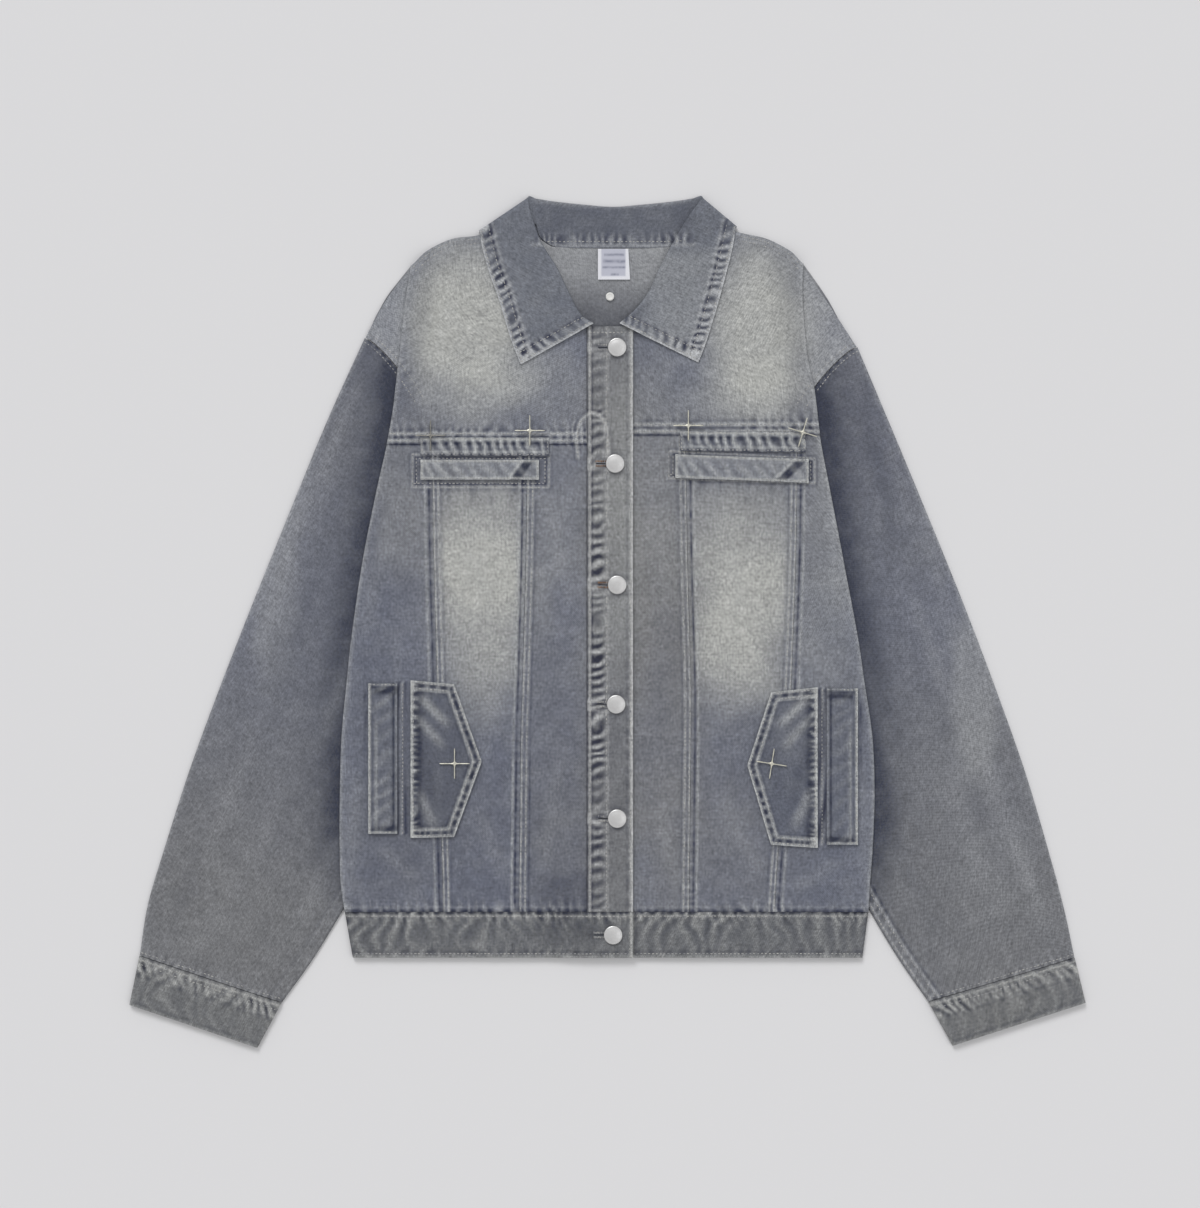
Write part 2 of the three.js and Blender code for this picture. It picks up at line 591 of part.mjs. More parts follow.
const toSolid = (geometry) => {
  const bare = geometry.clone();
  bare.deleteAttribute("normal");
  bare.deleteAttribute("uv");
  const merged = mergeVertices(bare, 1e-4);
  const vertProperties = merged.attributes.position.array;
  return new wasm.Manifold(
    new wasm.Mesh({ numProp: 3, vertProperties, triVerts: new Uint32Array(merged.index.array) }),
  );
};

function toGeometry(solid) {
  const { vertProperties, triVerts } = solid.getMesh();
  const geometry = new THREE.BufferGeometry();
  geometry.setAttribute("position", new THREE.BufferAttribute(vertProperties, 3));
  return geometry.setIndex(new THREE.BufferAttribute(triVerts, 1));
}

// Cuts a keyhole for a button, from a height up: a round eye for its shank and a slit to the left of it.
function cutButtonhole(solid, [x, y], floor) {
  const height = 20;
  const eye = new THREE.CylinderGeometry(BUTTON.eye, BUTTON.eye, height, 12).rotateX(Math.PI / 2);
  const slit = new THREE.BoxGeometry(BUTTON.slitLength, BUTTON.slit, height);
  slit.translate(-BUTTON.slitLength / 2, 0, 0);
  for (const cut of [eye, slit]) solid = solid.subtract(toSolid(cut.translate(x, y, floor + height / 2)));
  return solid;
}

function makePlacket() {
  const grid = gridOf(2, 12, (u, v) => {
    const x = lerp(PLACKET.left, PLACKET.right, u);
    return vec(x, lerp(HEM_Y + SEAM / 2, PLACKET.top, v), PLACKET.z);
  });
  const cut = (solid, spot) => cutButtonhole(solid, spot, 0);
  const strip = BUTTON_SPOTS.slice(0, -1).reduce(cut, toSolid(wall(grid, DOUBLED)));
  add("placket", toGeometry(strip), COLOUR.faded);
}

// One strip round the hem, from the closing edge on top to the other end under it.
function makeWaistband() {
  const left = [-236.2, -229.1];
  const right = [234.5, 229.1];
  const [topY, lowY] = [HEM_Y - SEAM / 2, HEM_Y - BAND_DEPTH];
  const onTop = (x) => BAND_FRONT_Z + 2 * smoothstep(x, -60, -14);
  const underneath = (x) => BAND_FRONT_Z - 0.5 * (1 - smoothstep(x, 28, 60));
  const depth = turnDepth(BAND_FRONT_Z, BAND_Z, DOUBLED);
  const rows = Array.from({ length: 3 }, (_, j) => {
    const v = j / 2;
    const y = lerp(topY, lowY, v);
    const [leftX, rightX] = [left, right].map(([a, b]) => lerp(a, b, v));
    const run = (n, from, to, z) =>
      Array.from({ length: n + 1 }, (_, k) => lerp(from, to, k / n)).map((x) => vec(x, y, z(x)));
    return [
      ...run(48, PLACKET.right, leftX + depth, onTop),
      ...turn([leftX, y], [-1, 0], BAND_FRONT_Z, BAND_Z, DOUBLED),
      ...run(12, leftX + depth, rightX - depth, () => BAND_Z),
      ...turn([rightX, y], [1, 0], BAND_Z, BAND_FRONT_Z, DOUBLED),
      ...run(44, rightX - depth, UNDERLAP_X, underneath),
    ];
  });
  const relief = (x, y) => {
    const wave = Math.max(0, Math.sin((Math.PI * 2 * (x + 0.5 * y)) / ROPING));
    return 0.4 * wave * smoothstep(Math.abs(x - 7), 22, 45);
  };
  const strip = wall(rows[0].map((_, i) => rows.map((row) => row[i])), DOUBLED, { relief });
  const underEnd = BAND_FRONT_Z + 0.75; // between the two ends, so that only the upper one is cut
  add("waistband", toGeometry(cutButtonhole(toSolid(strip), BUTTON_SPOTS.at(-1), underEnd)), COLOUR.band);
}

// The middle of the collar's fall where it lies on the front, w from the roll to the outer edge.
function leafZ(x, y, w) {
  const overPlacket = smoothstep(x, -36, -20) * (1 - smoothstep(x, 25, 40));
  const cover = Math.max(frontTop(x, y), lerp(0, PLACKET.z + DOUBLED / 2, overPlacket));
  return cover + LIFT + CLOTH / 2 + COLLAR_Z.puff * (1 - w) ** 1.5;
}

function makeCollar() {
  const last = COLLAR.length - 1;
  const grid = [];
  COLLAR.forEach((row, k) => {
    const toTip = Math.min(k, last - k);
    const angles = row.layer === 0 ? [-90, -45, 0, 45, 90] : [90 * row.layer];
    if (k < last / 2) angles.reverse();
    const [before, after] = [COLLAR[Math.max(k - 1, 0)], COLLAR[Math.min(k + 1, last)]];
    angles.forEach((degrees, n) => {
      const spread = (n - (angles.length - 1) / 2) * 1.1;
      const spreadAlong = (name) => {
        const keys = [name + "X", name + "Y"];
        const step = keys.map((key) => after[key] - before[key]);
        return keys.map((key, n) => row[key] + (step[n] / Math.hypot(...step)) * spread);
      };
      const neck = spreadAlong("neck");
      const roll = spreadAlong("roll");
      const share = (degrees + 90) / 180;
      const nearTip = 1 - clamp(toTip / 4, 0, 1);
      const side = lerp(COLLAR_Z.neckBack, COLLAR_Z.neckFront, share);
      const neckZ = lerp(side, COLLAR_Z.neckTip, nearTip);
      grid.push(collarRow(row, neck, roll, neckZ, neckZ + 0.5 * share, degrees));
    });
  });
  add("collar", wall(grid, CLOTH));
}

// One row across the collar: the stand from the neck edge, the roll, the fall to its outer edge.
function collarRow(row, neck, roll, neckZ, standZ, degrees) {
  const angle = THREE.MathUtils.degToRad(degrees);
  const fallWidth = Math.hypot(row.edgeX - row.rollX, row.edgeY - row.rollY);
  const down = [(row.edgeX - row.rollX) / fallWidth, (row.edgeY - row.rollY) / fallWidth];
  const inward = down[0] > 0 ? [down[1], -down[0]] : [-down[1], down[0]];
  const fall = (w) => {
    const base = [lerp(row.rollX, row.edgeX, w), lerp(row.rollY, row.edgeY, w)];
    const high = leafZ(base[0], base[1], w);
    if (row.layer === 1) return vec(...base, high);
    if (row.layer === -1) return vec(...base, BACK_Z);
    const radius = (high - BACK_Z) / 2;
    const inset = CLOTH / 2 + radius * (1 - Math.cos(angle));
    const z = BACK_Z + radius * (1 + Math.sin(angle));
    return vec(base[0] + inward[0] * inset, base[1] + inward[1] * inset, z);
  };
  const standWidth = Math.hypot(neck[0] - roll[0], neck[1] - roll[1]);
  const depth = Math.min(COLLAR_Z.roll, 0.4 * standWidth);
  const standAt = (f) => vec(lerp(neck[0], roll[0], f), lerp(neck[1], roll[1], f), lerp(neckZ, standZ, f));
  const standEnd = standAt(1 - depth / standWidth);
  const fallStart = fall(depth / fallWidth);
  const edge = vec(...roll, 0);
  const bend = [1, 2, 3].map((k) => {
    const theta = (Math.PI * k) / 4;
    const back = k === 2 ? CLOTH / 2 / depth : 1 - Math.sin(theta);
    const p = edge.clone().lerp(k < 2 ? standEnd : fallStart, back);
    return p.setZ((standEnd.z + fallStart.z) / 2 + (Math.cos(theta) * (standEnd.z - fallStart.z)) / 2);
  });
  return [standAt(0), standEnd, ...bend, fallStart, ...[0.33, 0.67, 1].map(fall)];
}

function makeLaidPieces() {
  for (const piece of LAID) {
    const upright = piece.y1 - piece.y0 > piece.x1 - piece.x0;
    const columns = piece.ripples * 4 || (upright ? 3 : 8);
    const rows = upright ? 8 : 1;
    const grid = gridOf(columns, rows, (u, v) => {
      const x = lerp(piece.x0, piece.x1, u);
      const y = lerp(piece.y0, piece.y1, v) + piece.rise * u;
      return vec(x, y, frontTop(x, y) + LIFT + piece.thickness / 2);
    });
    const turns = (x) => (Math.PI * 2 * piece.ripples * (x - piece.x0)) / (piece.x1 - piece.x0);
    const relief = (x) => 0.25 - 0.25 * Math.cos(turns(x));
    add(piece.name, wall(grid, piece.thickness, { relief }));
  }
}

function makeFlaps() {
  for (const flap of FLAPS) {
    const seam = [[flap.seamX, flap.seamLow], [flap.seamX, flap.seamTop]];
    const edge = [
      [flap.shoulderX, flap.shoulderLow],
      [flap.pointX, flap.pointY],
      [flap.shoulderX, flap.shoulderTop],
    ];
    const grid = gridOf(5, 8, (u, v) => {
      const [from, to] = [along(seam, v), along(edge, v)];
      const [x, y] = [lerp(from[0], to[0], u), lerp(from[1], to[1], u)];
      return vec(x, y, frontTop(x, y) + LIFT + DOUBLED / 2);
    });
    add(flap.name, wall(grid, DOUBLED));
  }
}

function makeButtons() {
  const { radius, shank } = BUTTON;
  const profile = [
    [0, -2.1], [shank, -2.1], [shank, 0.3], [radius - 0.7, 0.3], [radius, 1], [radius, 1.7],
    [radius - 0.9, 2.6], [radius - 4, 3.3], [0, 3.5],
  ].map(([x, y]) => new THREE.Vector2(x, y));
  BUTTON_SPOTS.forEach(([x, y], i) => {
    const onBand = i === BUTTON_SPOTS.length - 1;
    const z = onBand ? BAND_FRONT_Z + 2 + DOUBLED / 2 : PLACKET.z + DOUBLED / 2;
    const geometry = new THREE.LatheGeometry(profile, 12).rotateX(Math.PI / 2).translate(x, y, z);
    add("button_" + (i + 1), geometry, COLOUR.metal, 0.35, 0.9);
  });
}

// A flat stud with four spindle-shaped arms.
function studShape() {
  const shape = new THREE.Shape();
  const half = [[STUD.waist, STUD.waist], [STUD.arm * 0.66, STUD.belly], [STUD.arm - 0.6, STUD.tip]];
  const arm = [...half.slice(1).map(([r, w]) => [r, -w]), ...[...half].reverse()];
  const centre = new THREE.Vector2();
  const points = [0, 1, 2, 3].flatMap((k) =>
    arm.map(([r, w]) => new THREE.Vector2(r, w).rotateAround(centre, (k * Math.PI) / 2)),
  );
  return shape.setFromPoints(points);
}

function makeStuds() {
  STUDS.forEach((stud, i) => {
    const geometry = new THREE.ExtrudeGeometry(studShape(), {
      depth: STUD.thickness - 2 * STUD.bevel,
      bevelThickness: STUD.bevel,
      bevelSize: STUD.bevel,
      bevelOffset: -STUD.bevel,
      bevelSegments: 1,
    });
    geometry.rotateZ(THREE.MathUtils.degToRad(stud.turn));
    const z = frontTop(stud.x, stud.y) + LIFT + stud.under + 0.5 + LIFT + STUD.bevel;
    add("cross_stud_" + (i + 1), geometry.translate(stud.x, stud.y, z), COLOUR.metal, 0.35, 0.9);
  });
}

function makeNeckTrims() {
  const [left, right, low, top] = [-8.6, 20.2, 308.2, 335.8];
  const labelGrid = gridOf(3, 3, (u, v) => {
    const [x, y] = [lerp(left, right - 1.5 * v, u), lerp(low, top, v)];
    return vec(x, y, backZ(x, y) + CLOTH / 2 + LIFT + LABEL_CLOTH / 2);
  });
  add("neck_label", wall(labelGrid, LABEL_CLOTH), COLOUR.label);
  const profile = [[0, 0], [3.3, 0], [3.85, 0.6], [3.4, 1.3], [2, 1.8], [0, 2]];
  const [x, y] = [2.2, 292.9];
  const dot = new THREE.LatheGeometry(profile.map((p) => new THREE.Vector2(...p)), 16).rotateX(Math.PI / 2);
  add("neck_stud", dot.translate(x, y, backZ(x, y) + CLOTH / 2 + 2 * LIFT), COLOUR.label, 0.4);
}

makeBack();
for (const [label, side] of Object.entries(SIDES)) {
  const name = label.toLowerCase();
  const seamY = CHEST_SEAM[label];
  const column = (kind) => (y) => atHeight(FRONT, kind + label, y);
  const inner = (y) => column("inner")(y) + (side.sign * SEAM) / 2;
  const beforeInner = (y) => column("inner")(y) - (side.sign * SEAM) / 2;
  const beforeOuter = (y) => column("outer")(y) - (side.sign * SEAM) / 2;
  makeYoke("front_yoke_" + name, side, seamY);
  makePanel("front_centre_" + name, 4, seamY, () => side.centre, beforeInner);
  makePanel("front_middle_" + name, 5, seamY, inner, beforeOuter);
  makeSideFront("front_side_" + name, side, seamY);
  makeSleeve("sleeve_" + name, side);
  makeCuff("cuff_" + name, side);
}
makePlacket();
makeWaistband();
makeCollar();
makeLaidPieces();
makeFlaps();
makeButtons();
makeStuds();
makeNeckTrims();

const box = new THREE.Box3().setFromObject(jacket);
const centre = box.getCenter(new THREE.Vector3());
jacket.position.set(-centre.x, -centre.y, -box.min.z);

export default jacket;
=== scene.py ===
import json
import math
import bpy
import numpy as np
from mathutils import Matrix, Vector
from mathutils.bvhtree import BVHTree

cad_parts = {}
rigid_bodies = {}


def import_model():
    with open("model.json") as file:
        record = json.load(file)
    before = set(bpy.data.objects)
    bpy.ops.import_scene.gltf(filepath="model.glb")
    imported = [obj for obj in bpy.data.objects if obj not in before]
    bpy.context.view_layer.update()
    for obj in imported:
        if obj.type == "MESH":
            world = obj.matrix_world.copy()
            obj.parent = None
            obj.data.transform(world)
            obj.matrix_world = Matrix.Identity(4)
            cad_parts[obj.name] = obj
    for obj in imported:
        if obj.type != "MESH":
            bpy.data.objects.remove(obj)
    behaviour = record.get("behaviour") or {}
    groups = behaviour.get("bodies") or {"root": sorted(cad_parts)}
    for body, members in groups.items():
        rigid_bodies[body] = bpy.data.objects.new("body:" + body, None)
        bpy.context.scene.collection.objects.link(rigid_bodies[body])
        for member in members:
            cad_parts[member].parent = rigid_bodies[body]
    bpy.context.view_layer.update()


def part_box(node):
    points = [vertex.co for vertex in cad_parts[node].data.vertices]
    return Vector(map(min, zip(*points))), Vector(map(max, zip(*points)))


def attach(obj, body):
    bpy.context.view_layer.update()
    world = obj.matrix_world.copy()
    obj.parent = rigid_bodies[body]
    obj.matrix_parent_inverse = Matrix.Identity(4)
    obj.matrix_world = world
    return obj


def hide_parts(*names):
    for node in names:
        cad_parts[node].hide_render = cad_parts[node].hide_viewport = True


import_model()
bpy.ops.object.select_all(action="DESELECT")


# The surface the jacket lies on: pale, matt and even, as in a product photograph. It is seen from
# straight above, under the even light of a studio, which comes a little more from beyond the collar.

MM = 0.001
PHOTO_HEIGHT = 1087.2  # millimetres from the top of the picture to its foot
VIEW_CENTRE = (-6.75, 15.65)
LENS = 85.0
SENSOR = 36.0


def simple_material(name, colour, roughness):
    material = bpy.data.materials.new(name)
    material.use_nodes = True
    shader = material.node_tree.nodes["Principled BSDF"]
    shader.inputs["Base Color"].default_value = (*colour, 1)
    shader.inputs["Roughness"].default_value = roughness
    return material


bpy.ops.mesh.primitive_plane_add(size=12, location=(0, 0, -0.0002))
floor = bpy.context.object
floor.name = "floor"
floor.data.materials.append(simple_material("pale_floor", (0.72, 0.72, 0.735), 0.95))

camera_data = bpy.data.cameras.new("camera")
camera_data.lens = LENS
camera_data.sensor_fit = "VERTICAL"
camera_data.sensor_height = SENSOR
camera_data.clip_end = 50
camera = bpy.data.objects.new("camera", camera_data)
bpy.context.scene.collection.objects.link(camera)
camera.location = (VIEW_CENTRE[0] * MM, VIEW_CENTRE[1] * MM, PHOTO_HEIGHT * MM * LENS / SENSOR)
bpy.context.scene.camera = camera

SOFT_LIGHTS = (  # name, where it comes from, how broad in degrees, strength
    ("light_collar", (-0.35, 1.0, 0.95), 24, 1.25),
    ("light_side", (0.8, -0.1, 1.1), 50, 0.3),
)
for name, place, breadth, strength in SOFT_LIGHTS:
    light_data = bpy.data.lights.new(name, "SUN")
    light_data.angle = math.radians(breadth)
    light_data.energy = strength
    light = bpy.data.objects.new(name, light_data)
    light.location = place
    light.rotation_euler = (math.atan2(math.hypot(place[0], place[1]), place[2]), 0,
                            math.atan2(place[0], -place[1]))
    bpy.context.scene.collection.objects.link(light)

world = bpy.data.worlds.new("studio")
world.use_nodes = True
world.node_tree.nodes["Background"].inputs["Color"].default_value = (1, 0.995, 0.99, 1)
world.node_tree.nodes["Background"].inputs["Strength"].default_value = 0.62
bpy.context.scene.world = world
bpy.context.scene.view_settings.view_transform = "Standard"


# The back: one panel of denim with its paler inner face up. It lies flat on the surface, and only its
# neck shows inside the collar. Its edges are sewn to the sleeves, the yokes and the side fronts.

CLOTH = 1.2  # one layer of denim; these sizes are in millimetres from the middle of the chest
LIFT = 0.45  # between a piece and the one it lies on
SEAM = 0.3  # between pieces sewn edge to edge
HIDDEN_SEAM = 2.0
DOUBLED = 2.2
BACK_Z = CLOTH / 2
RETURN_Z = 4.0  # the fronts turned under at the sides
FALL_RAISE = 1.5  # the back over the collar's fall
HEM_Y = -260.0
PLACKET = {"left": -18.4, "right": 23.0, "top": 266.0, "z": 5.0}
ARMHOLE_BULGE = 19.0
SIDES = {
    "left": {
        "sign": -1,
        "shoulder": [(-73, 374.5), (-92, 363), (-113.5, 348.8), (-139, 345), (-160, 335.5), (-176.8, 320.9)],
        "fold": [(-176.8, 320.9), (-182.2, 285), (-185.8, 253.3), (-189.5, 221), (-193.1, 190.3),
                 (-198.4, 160)],
        "neck": [(-73, 374.5), (-70.5, 352), (-67.5, 335), (-58, 305), (-45, 283), (-29, 270),
                 (-18.7, 265.3)],
        "centre": -18.7,
        "sleeve_top": (-217.3, 256.1),
        "top_bulge": 3.5,
        "underarm": (-119.2, 56.2),
        "chest_seam": 160.0,
    },
    "right": {
        "sign": 1,
        "shoulder": [(84.5, 376), (98, 365), (113.8, 352), (142.7, 345), (163.3, 334.4), (176, 322.7)],
        "fold": [(176, 322.7), (175.5, 290.2), (179.6, 240.8), (185.8, 211.1), (191, 168.5)],
        "neck": [(84.5, 376), (82.5, 352), (76.5, 333), (66.5, 304), (52, 283), (36, 270.5), (24, 266),
                 (-8.6, 265.3)],
        "centre": -8.6,
        "sleeve_top": (223.7, 248),
        "top_bulge": 0.7,
        "underarm": (121, 56.2),
        "chest_seam": 168.5,
    },
}
SLEEVE_EDGES = {  # the outer edge's x and y, then the inner edge's, from the armhole to the cuff seam
    "left": [
        (-217.3, 256.1, -119.2, 56.2), (-249.8, 185, -130.1, 11.2), (-282.2, 106.7, -143.6, -38.2),
        (-318.2, 18.4, -164.2, -101.2), (-347.9, -57.1, -186.8, -159.8), (-375.8, -132.8, -212, -213.8),
        (-400.1, -208.3, -239.5, -261.4), (-413.6, -254.2, -265.1, -302.9), (-420.8, -299.2, -292.9, -341.6),
    ],
    "right": [
        (223.7, 248, 121, 56.2), (246.2, 194.8, 130.1, 11.2), (283.1, 106.7, 142.7, -38.2),
        (319.1, 18.4, 163.3, -101.2), (347.9, -57.1, 185.8, -159.8), (374.9, -132.8, 211.1, -213.8),
        (397.4, -208.3, 238, -263.2), (410.9, -258.8, 261.4, -301.9), (419.9, -301.1, 288.4, -340.7),
    ],
}
SIDE_SEAM = [(119.2, 56.2), (159.8, 20.2), (200.2, -24.8), (218.2, -87.8), (224.6, -159.8), (226.3, -260)]
BACK_NECK = [(-73, 374.5), (-69.5, 362), (-64, 347), (-51, 338), (-29, 336.4), (5, 336.3), (38, 336.4),
             (60, 338), (73.5, 347), (81, 362), (84.5, 376)]
placket_corner = np.array(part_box("placket")[0]) / MM
FRAME_SHIFT = placket_corner - (PLACKET["left"], HEM_Y + SEAM / 2, PLACKET["z"] - DOUBLED / 2)


def lerp(a, b, t):
    return a + (b - a) * t


def smoothstep(value, low, high):
    t = np.clip((value - low) / (high - low), 0, 1)
    return t * t * (3 - 2 * t)


def noise(x, y, size, seed=0):
    """Smooth random waves from -1 to 1, about size millimetres apart."""
    lattice = np.random.default_rng(seed).uniform(-1, 1, (64, 64))
    gx, gy = np.asarray(x) / size + 512, np.asarray(y) / size + 512
    ix, iy = np.floor(gx).astype(int), np.floor(gy).astype(int)
    fx, fy = smoothstep(gx - ix, 0, 1), smoothstep(gy - iy, 0, 1)
    low = lerp(lattice[ix % 64, iy % 64], lattice[(ix + 1) % 64, iy % 64], fx)
    high = lerp(lattice[ix % 64, (iy + 1) % 64], lattice[(ix + 1) % 64, (iy + 1) % 64], fx)
    return lerp(low, high, fy)


def smooth_line(points, steps=8):
    """A few points joined by a smooth curve, as a closer line of points."""
    p = np.array(points, float)
    p = np.vstack([2 * p[0] - p[1], p, 2 * p[-1] - p[-2]])
    line = [p[1]]
    for k in range(1, len(p) - 2):
        for t in np.arange(1, steps + 1) / steps:
            bend = 2 * p[k - 1] - 5 * p[k] + 4 * p[k + 1] - p[k + 2]
            twist = -p[k - 1] + 3 * p[k] - 3 * p[k + 1] + p[k + 2]
            line.append(p[k] + 0.5 * ((p[k + 1] - p[k - 1]) * t + bend * t**2 + twist * t**3))
    return np.array(line)


def along(line, share):
    """The points at some shares of the way along a line, by length."""
    line = np.asarray(line, float)
    run = np.concatenate([[0], np.cumsum(np.hypot(*np.diff(line, axis=0).T))])
    at = np.asarray(share) * run[-1]
    return np.stack([np.interp(at, run, line[:, 0]), np.interp(at, run, line[:, 1])], axis=-1)


def x_at(line, y):
    """The x of a line of points, listed from the top down, at a height y."""
    return np.interp(y, line[::-1, 1], line[::-1, 0])


def armhole(side, u):
    top, low = np.array(side["sleeve_top"]), np.array(side["underarm"])
    across = low - top
    inward = np.array([across[1], -across[0]]) / np.hypot(*across) * side["sign"]
    bulge = ARMHOLE_BULGE * np.sin(np.pi * np.asarray(u, float) ** 0.75)
    return top + across * np.asarray(u)[..., None] + inward * bulge[..., None]


for label, side in SIDES.items():
    edges = np.array(SLEEVE_EDGES[label], float)
    side["outer_line"] = smooth_line(edges[:, :2])
    side["inner_line"] = smooth_line(edges[:, 2:])
    side["fold_line"] = smooth_line(side["fold"])
    side["shoulder_line"] = smooth_line(side["shoulder"])
    side["side_seam_line"] = smooth_line(SIDE_SEAM) * (side["sign"], 1)
    side["armhole_line"] = armhole(side, np.linspace(0, 1, 41))


def over_sleeve(x, y):
    """0 in the middle of the body, 1 where it lies over a sleeve."""
    share = np.zeros(np.broadcast(x, y).shape)
    for side in SIDES.values():
        above = x_at(side["armhole_line"], y)
        line = np.where(y > side["underarm"][1], above, x_at(side["inner_line"], y))
        outward = (x - line) * side["sign"] * 0.85
        share = np.where(x * side["sign"] >= 0, smoothstep(outward, -60, -12), share)
    return share


def back_z(x, y):
    fall = smoothstep(y, 235, 268) * (1 - smoothstep(np.abs(x), 128, 150))
    armpit = SIDES["left"]["underarm"][1]
    below = 1 - smoothstep(y, armpit, armpit + 25)
    return BACK_Z + (RETURN_Z - BACK_Z) * over_sleeve(x, y) * below + FALL_RAISE * fall


def marks(x, y):
    """What the making, washing and wearing do to a place of the cloth: its relief in millimetres, how
    bleached, rubbed, dark and dusty it is. Some pieces add painted shade and shadow to the dark mark."""
    flat = 0.22 * noise(x, y, 26, 3) + 0.12 * noise(x, y, 9, 4)
    return {
        "relief": flat,
        "fade": 0.05 * noise(x, y, 60, 5) + 0.05 * noise(x, y, 22, 6),
        "worn": 0.07 * np.maximum(noise(x, y, 9, 4), 0),
        "dark": 0.07 * np.maximum(-noise(x, y, 9, 4), 0),
        "dusty": 0.15 + 0.2 * noise(x, y, 90, 7),
    }


def cloth(name, grid, thickness, surface, ring=False):
    """A closed shell of that thickness round a grid of points, raised and marked where it faces up."""
    grid = np.asarray(grid, float)
    count, rows = grid.shape[:2]
    padded = np.concatenate([grid[-1:], grid, grid[:1]] if ring else [grid[:1], grid, grid[-1:]])
    du = padded[2:] - padded[:-2]
    dv = np.concatenate([grid[:, 1:], grid[:, -1:]], axis=1)
    dv = dv - np.concatenate([grid[:, :1], grid[:, :-1]], axis=1)
    normal = np.cross(du, dv)
    normal /= np.maximum(np.linalg.norm(normal, axis=2, keepdims=True), 1e-9)
    mark = surface(grid[..., 0], grid[..., 1])
    up = np.clip(normal[..., 2], 0, 1)
    relief = mark.pop("relief") * up
    upper = grid + normal * (thickness / 2 + relief)[..., None]
    lower = grid - normal * (thickness / 2 - 0.85 * np.maximum(relief, 0))[..., None]
    points = np.concatenate([upper.reshape(-1, 3), lower.reshape(-1, 3)])

    index = np.arange(count * rows).reshape(count, rows)
    if ring:
        index = np.vstack([index, index[:1]])
    below = index + count * rows
    a, b, c, d = index[:-1, :-1], index[1:, :-1], index[1:, 1:], index[:-1, 1:]
    faces = [np.stack([a, b, c, d], -1), np.stack([a, d, c, b], -1) + count * rows]
    faces.append(np.stack([index[1:, 0], index[:-1, 0], below[:-1, 0], below[1:, 0]], -1))
    faces.append(np.stack([index[:-1, -1], index[1:, -1], below[1:, -1], below[:-1, -1]], -1))
    if not ring:
        faces.append(np.stack([index[0, :-1], index[0, 1:], below[0, 1:], below[0, :-1]], -1))
        faces.append(np.stack([index[-1, 1:], index[-1, :-1], below[-1, :-1], below[-1, 1:]], -1))
    faces = np.concatenate([f.reshape(-1, 4) for f in faces])

    mesh = bpy.data.meshes.new(name)
    mesh.from_pydata(((points + FRAME_SHIFT) * MM).tolist(), [], faces.tolist())
    run_u = np.cumsum(np.pad(np.linalg.norm(np.diff(grid, axis=0), axis=2), ((1, 0), (0, 0))), axis=0)
    run_v = np.cumsum(np.pad(np.linalg.norm(np.diff(grid, axis=1), axis=2), ((0, 0), (1, 0))), axis=1)
    yarn = np.stack([run_u, run_v, np.zeros_like(run_u)], -1).reshape(-1, 3)
    mesh.attributes.new("yarn", "FLOAT_VECTOR", "POINT").data.foreach_set(
        "vector", np.tile(yarn, (2, 1)).ravel().astype(np.float32))
    for kind, values in mark.items():
        values = np.broadcast_to(values, (count, rows)).ravel()
        mesh.attributes.new(kind, "FLOAT", "POINT").data.foreach_set(
            "value", np.tile(values, 2).astype(np.float32))
    piece = bpy.data.objects.new(name, mesh)
    bpy.context.scene.collection.objects.link(piece)
    bpy.ops.object.select_all(action="DESELECT")
    piece.select_set(True)
    bpy.context.view_layer.objects.active = piece
    bpy.ops.object.shade_smooth_by_angle(angle=math.radians(50))
    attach(piece, "root")
    return piece


def share_group(name, sockets):
    """An empty node group with those sockets, each (name, "INPUT" or "OUTPUT", type)."""
    group = bpy.data.node_groups.new(name, "ShaderNodeTree")
    for socket, way, kind in sockets:
        group.interface.new_socket(socket, in_out=way, socket_type="NodeSocket" + kind)
    return group, group.nodes.new("NodeGroupInput"), group.nodes.new("NodeGroupOutput")


def put(tree, kind, links=(), **settings):
    """Adds a node, sets what is named, and links sockets into it. Inputs are (input, socket or value)."""
    node = tree.nodes.new("ShaderNode" + kind)
    for key, value in settings.items():
        setattr(node, key, value)
    for key, source in links:
        if isinstance(source, bpy.types.NodeSocket):
            tree.links.new(source, node.inputs[key])
        else:
            node.inputs[key].default_value = source
    return node


def math_node(tree, operation, *values):
    return put(tree, "Math", list(enumerate(values)), operation=operation).outputs[0]


def mix_colour(tree, factor, first, second):
    node = put(tree, "Mix", data_type="RGBA")
    for key, source in ((0, factor), (6, first), (7, second)):
        if isinstance(source, bpy.types.NodeSocket):
            tree.links.new(source, node.inputs[key])
        else:
            node.inputs[key].default_value = source
    return node.outputs[2]


# Twill: slanted ribs of yarn under a grain of uneven threads, some of them pale.
twill, twill_in, twill_out = share_group("twill", [
    ("Yarn", "INPUT", "Vector"), ("Speckle", "OUTPUT", "Float"), ("Height", "OUTPUT", "Float")])
tree = twill
ribs = put(tree, "TexWave", [("Vector", twill_in.outputs["Yarn"]), ("Scale", 330.0), ("Distortion", 1.2),
                             ("Detail", 1.0), ("Detail Scale", 1.5)], bands_direction="DIAGONAL")
slub_place = put(tree, "Mapping", [("Vector", twill_in.outputs["Yarn"]), ("Scale", (1000.0, 160.0, 1.0))])
slubs = put(tree, "TexNoise", [("Vector", slub_place.outputs[0]), ("Scale", 0.75), ("Detail", 3.0),
                               ("Roughness", 0.6)])
fleck_place = put(tree, "Mapping", [("Vector", twill_in.outputs["Yarn"]), ("Scale", (620.0, 430.0, 1.0))])
flecks = put(tree, "TexNoise", [("Vector", fleck_place.outputs[0]), ("Scale", 1.0), ("Detail", 4.0),
                                ("Roughness", 0.75)])
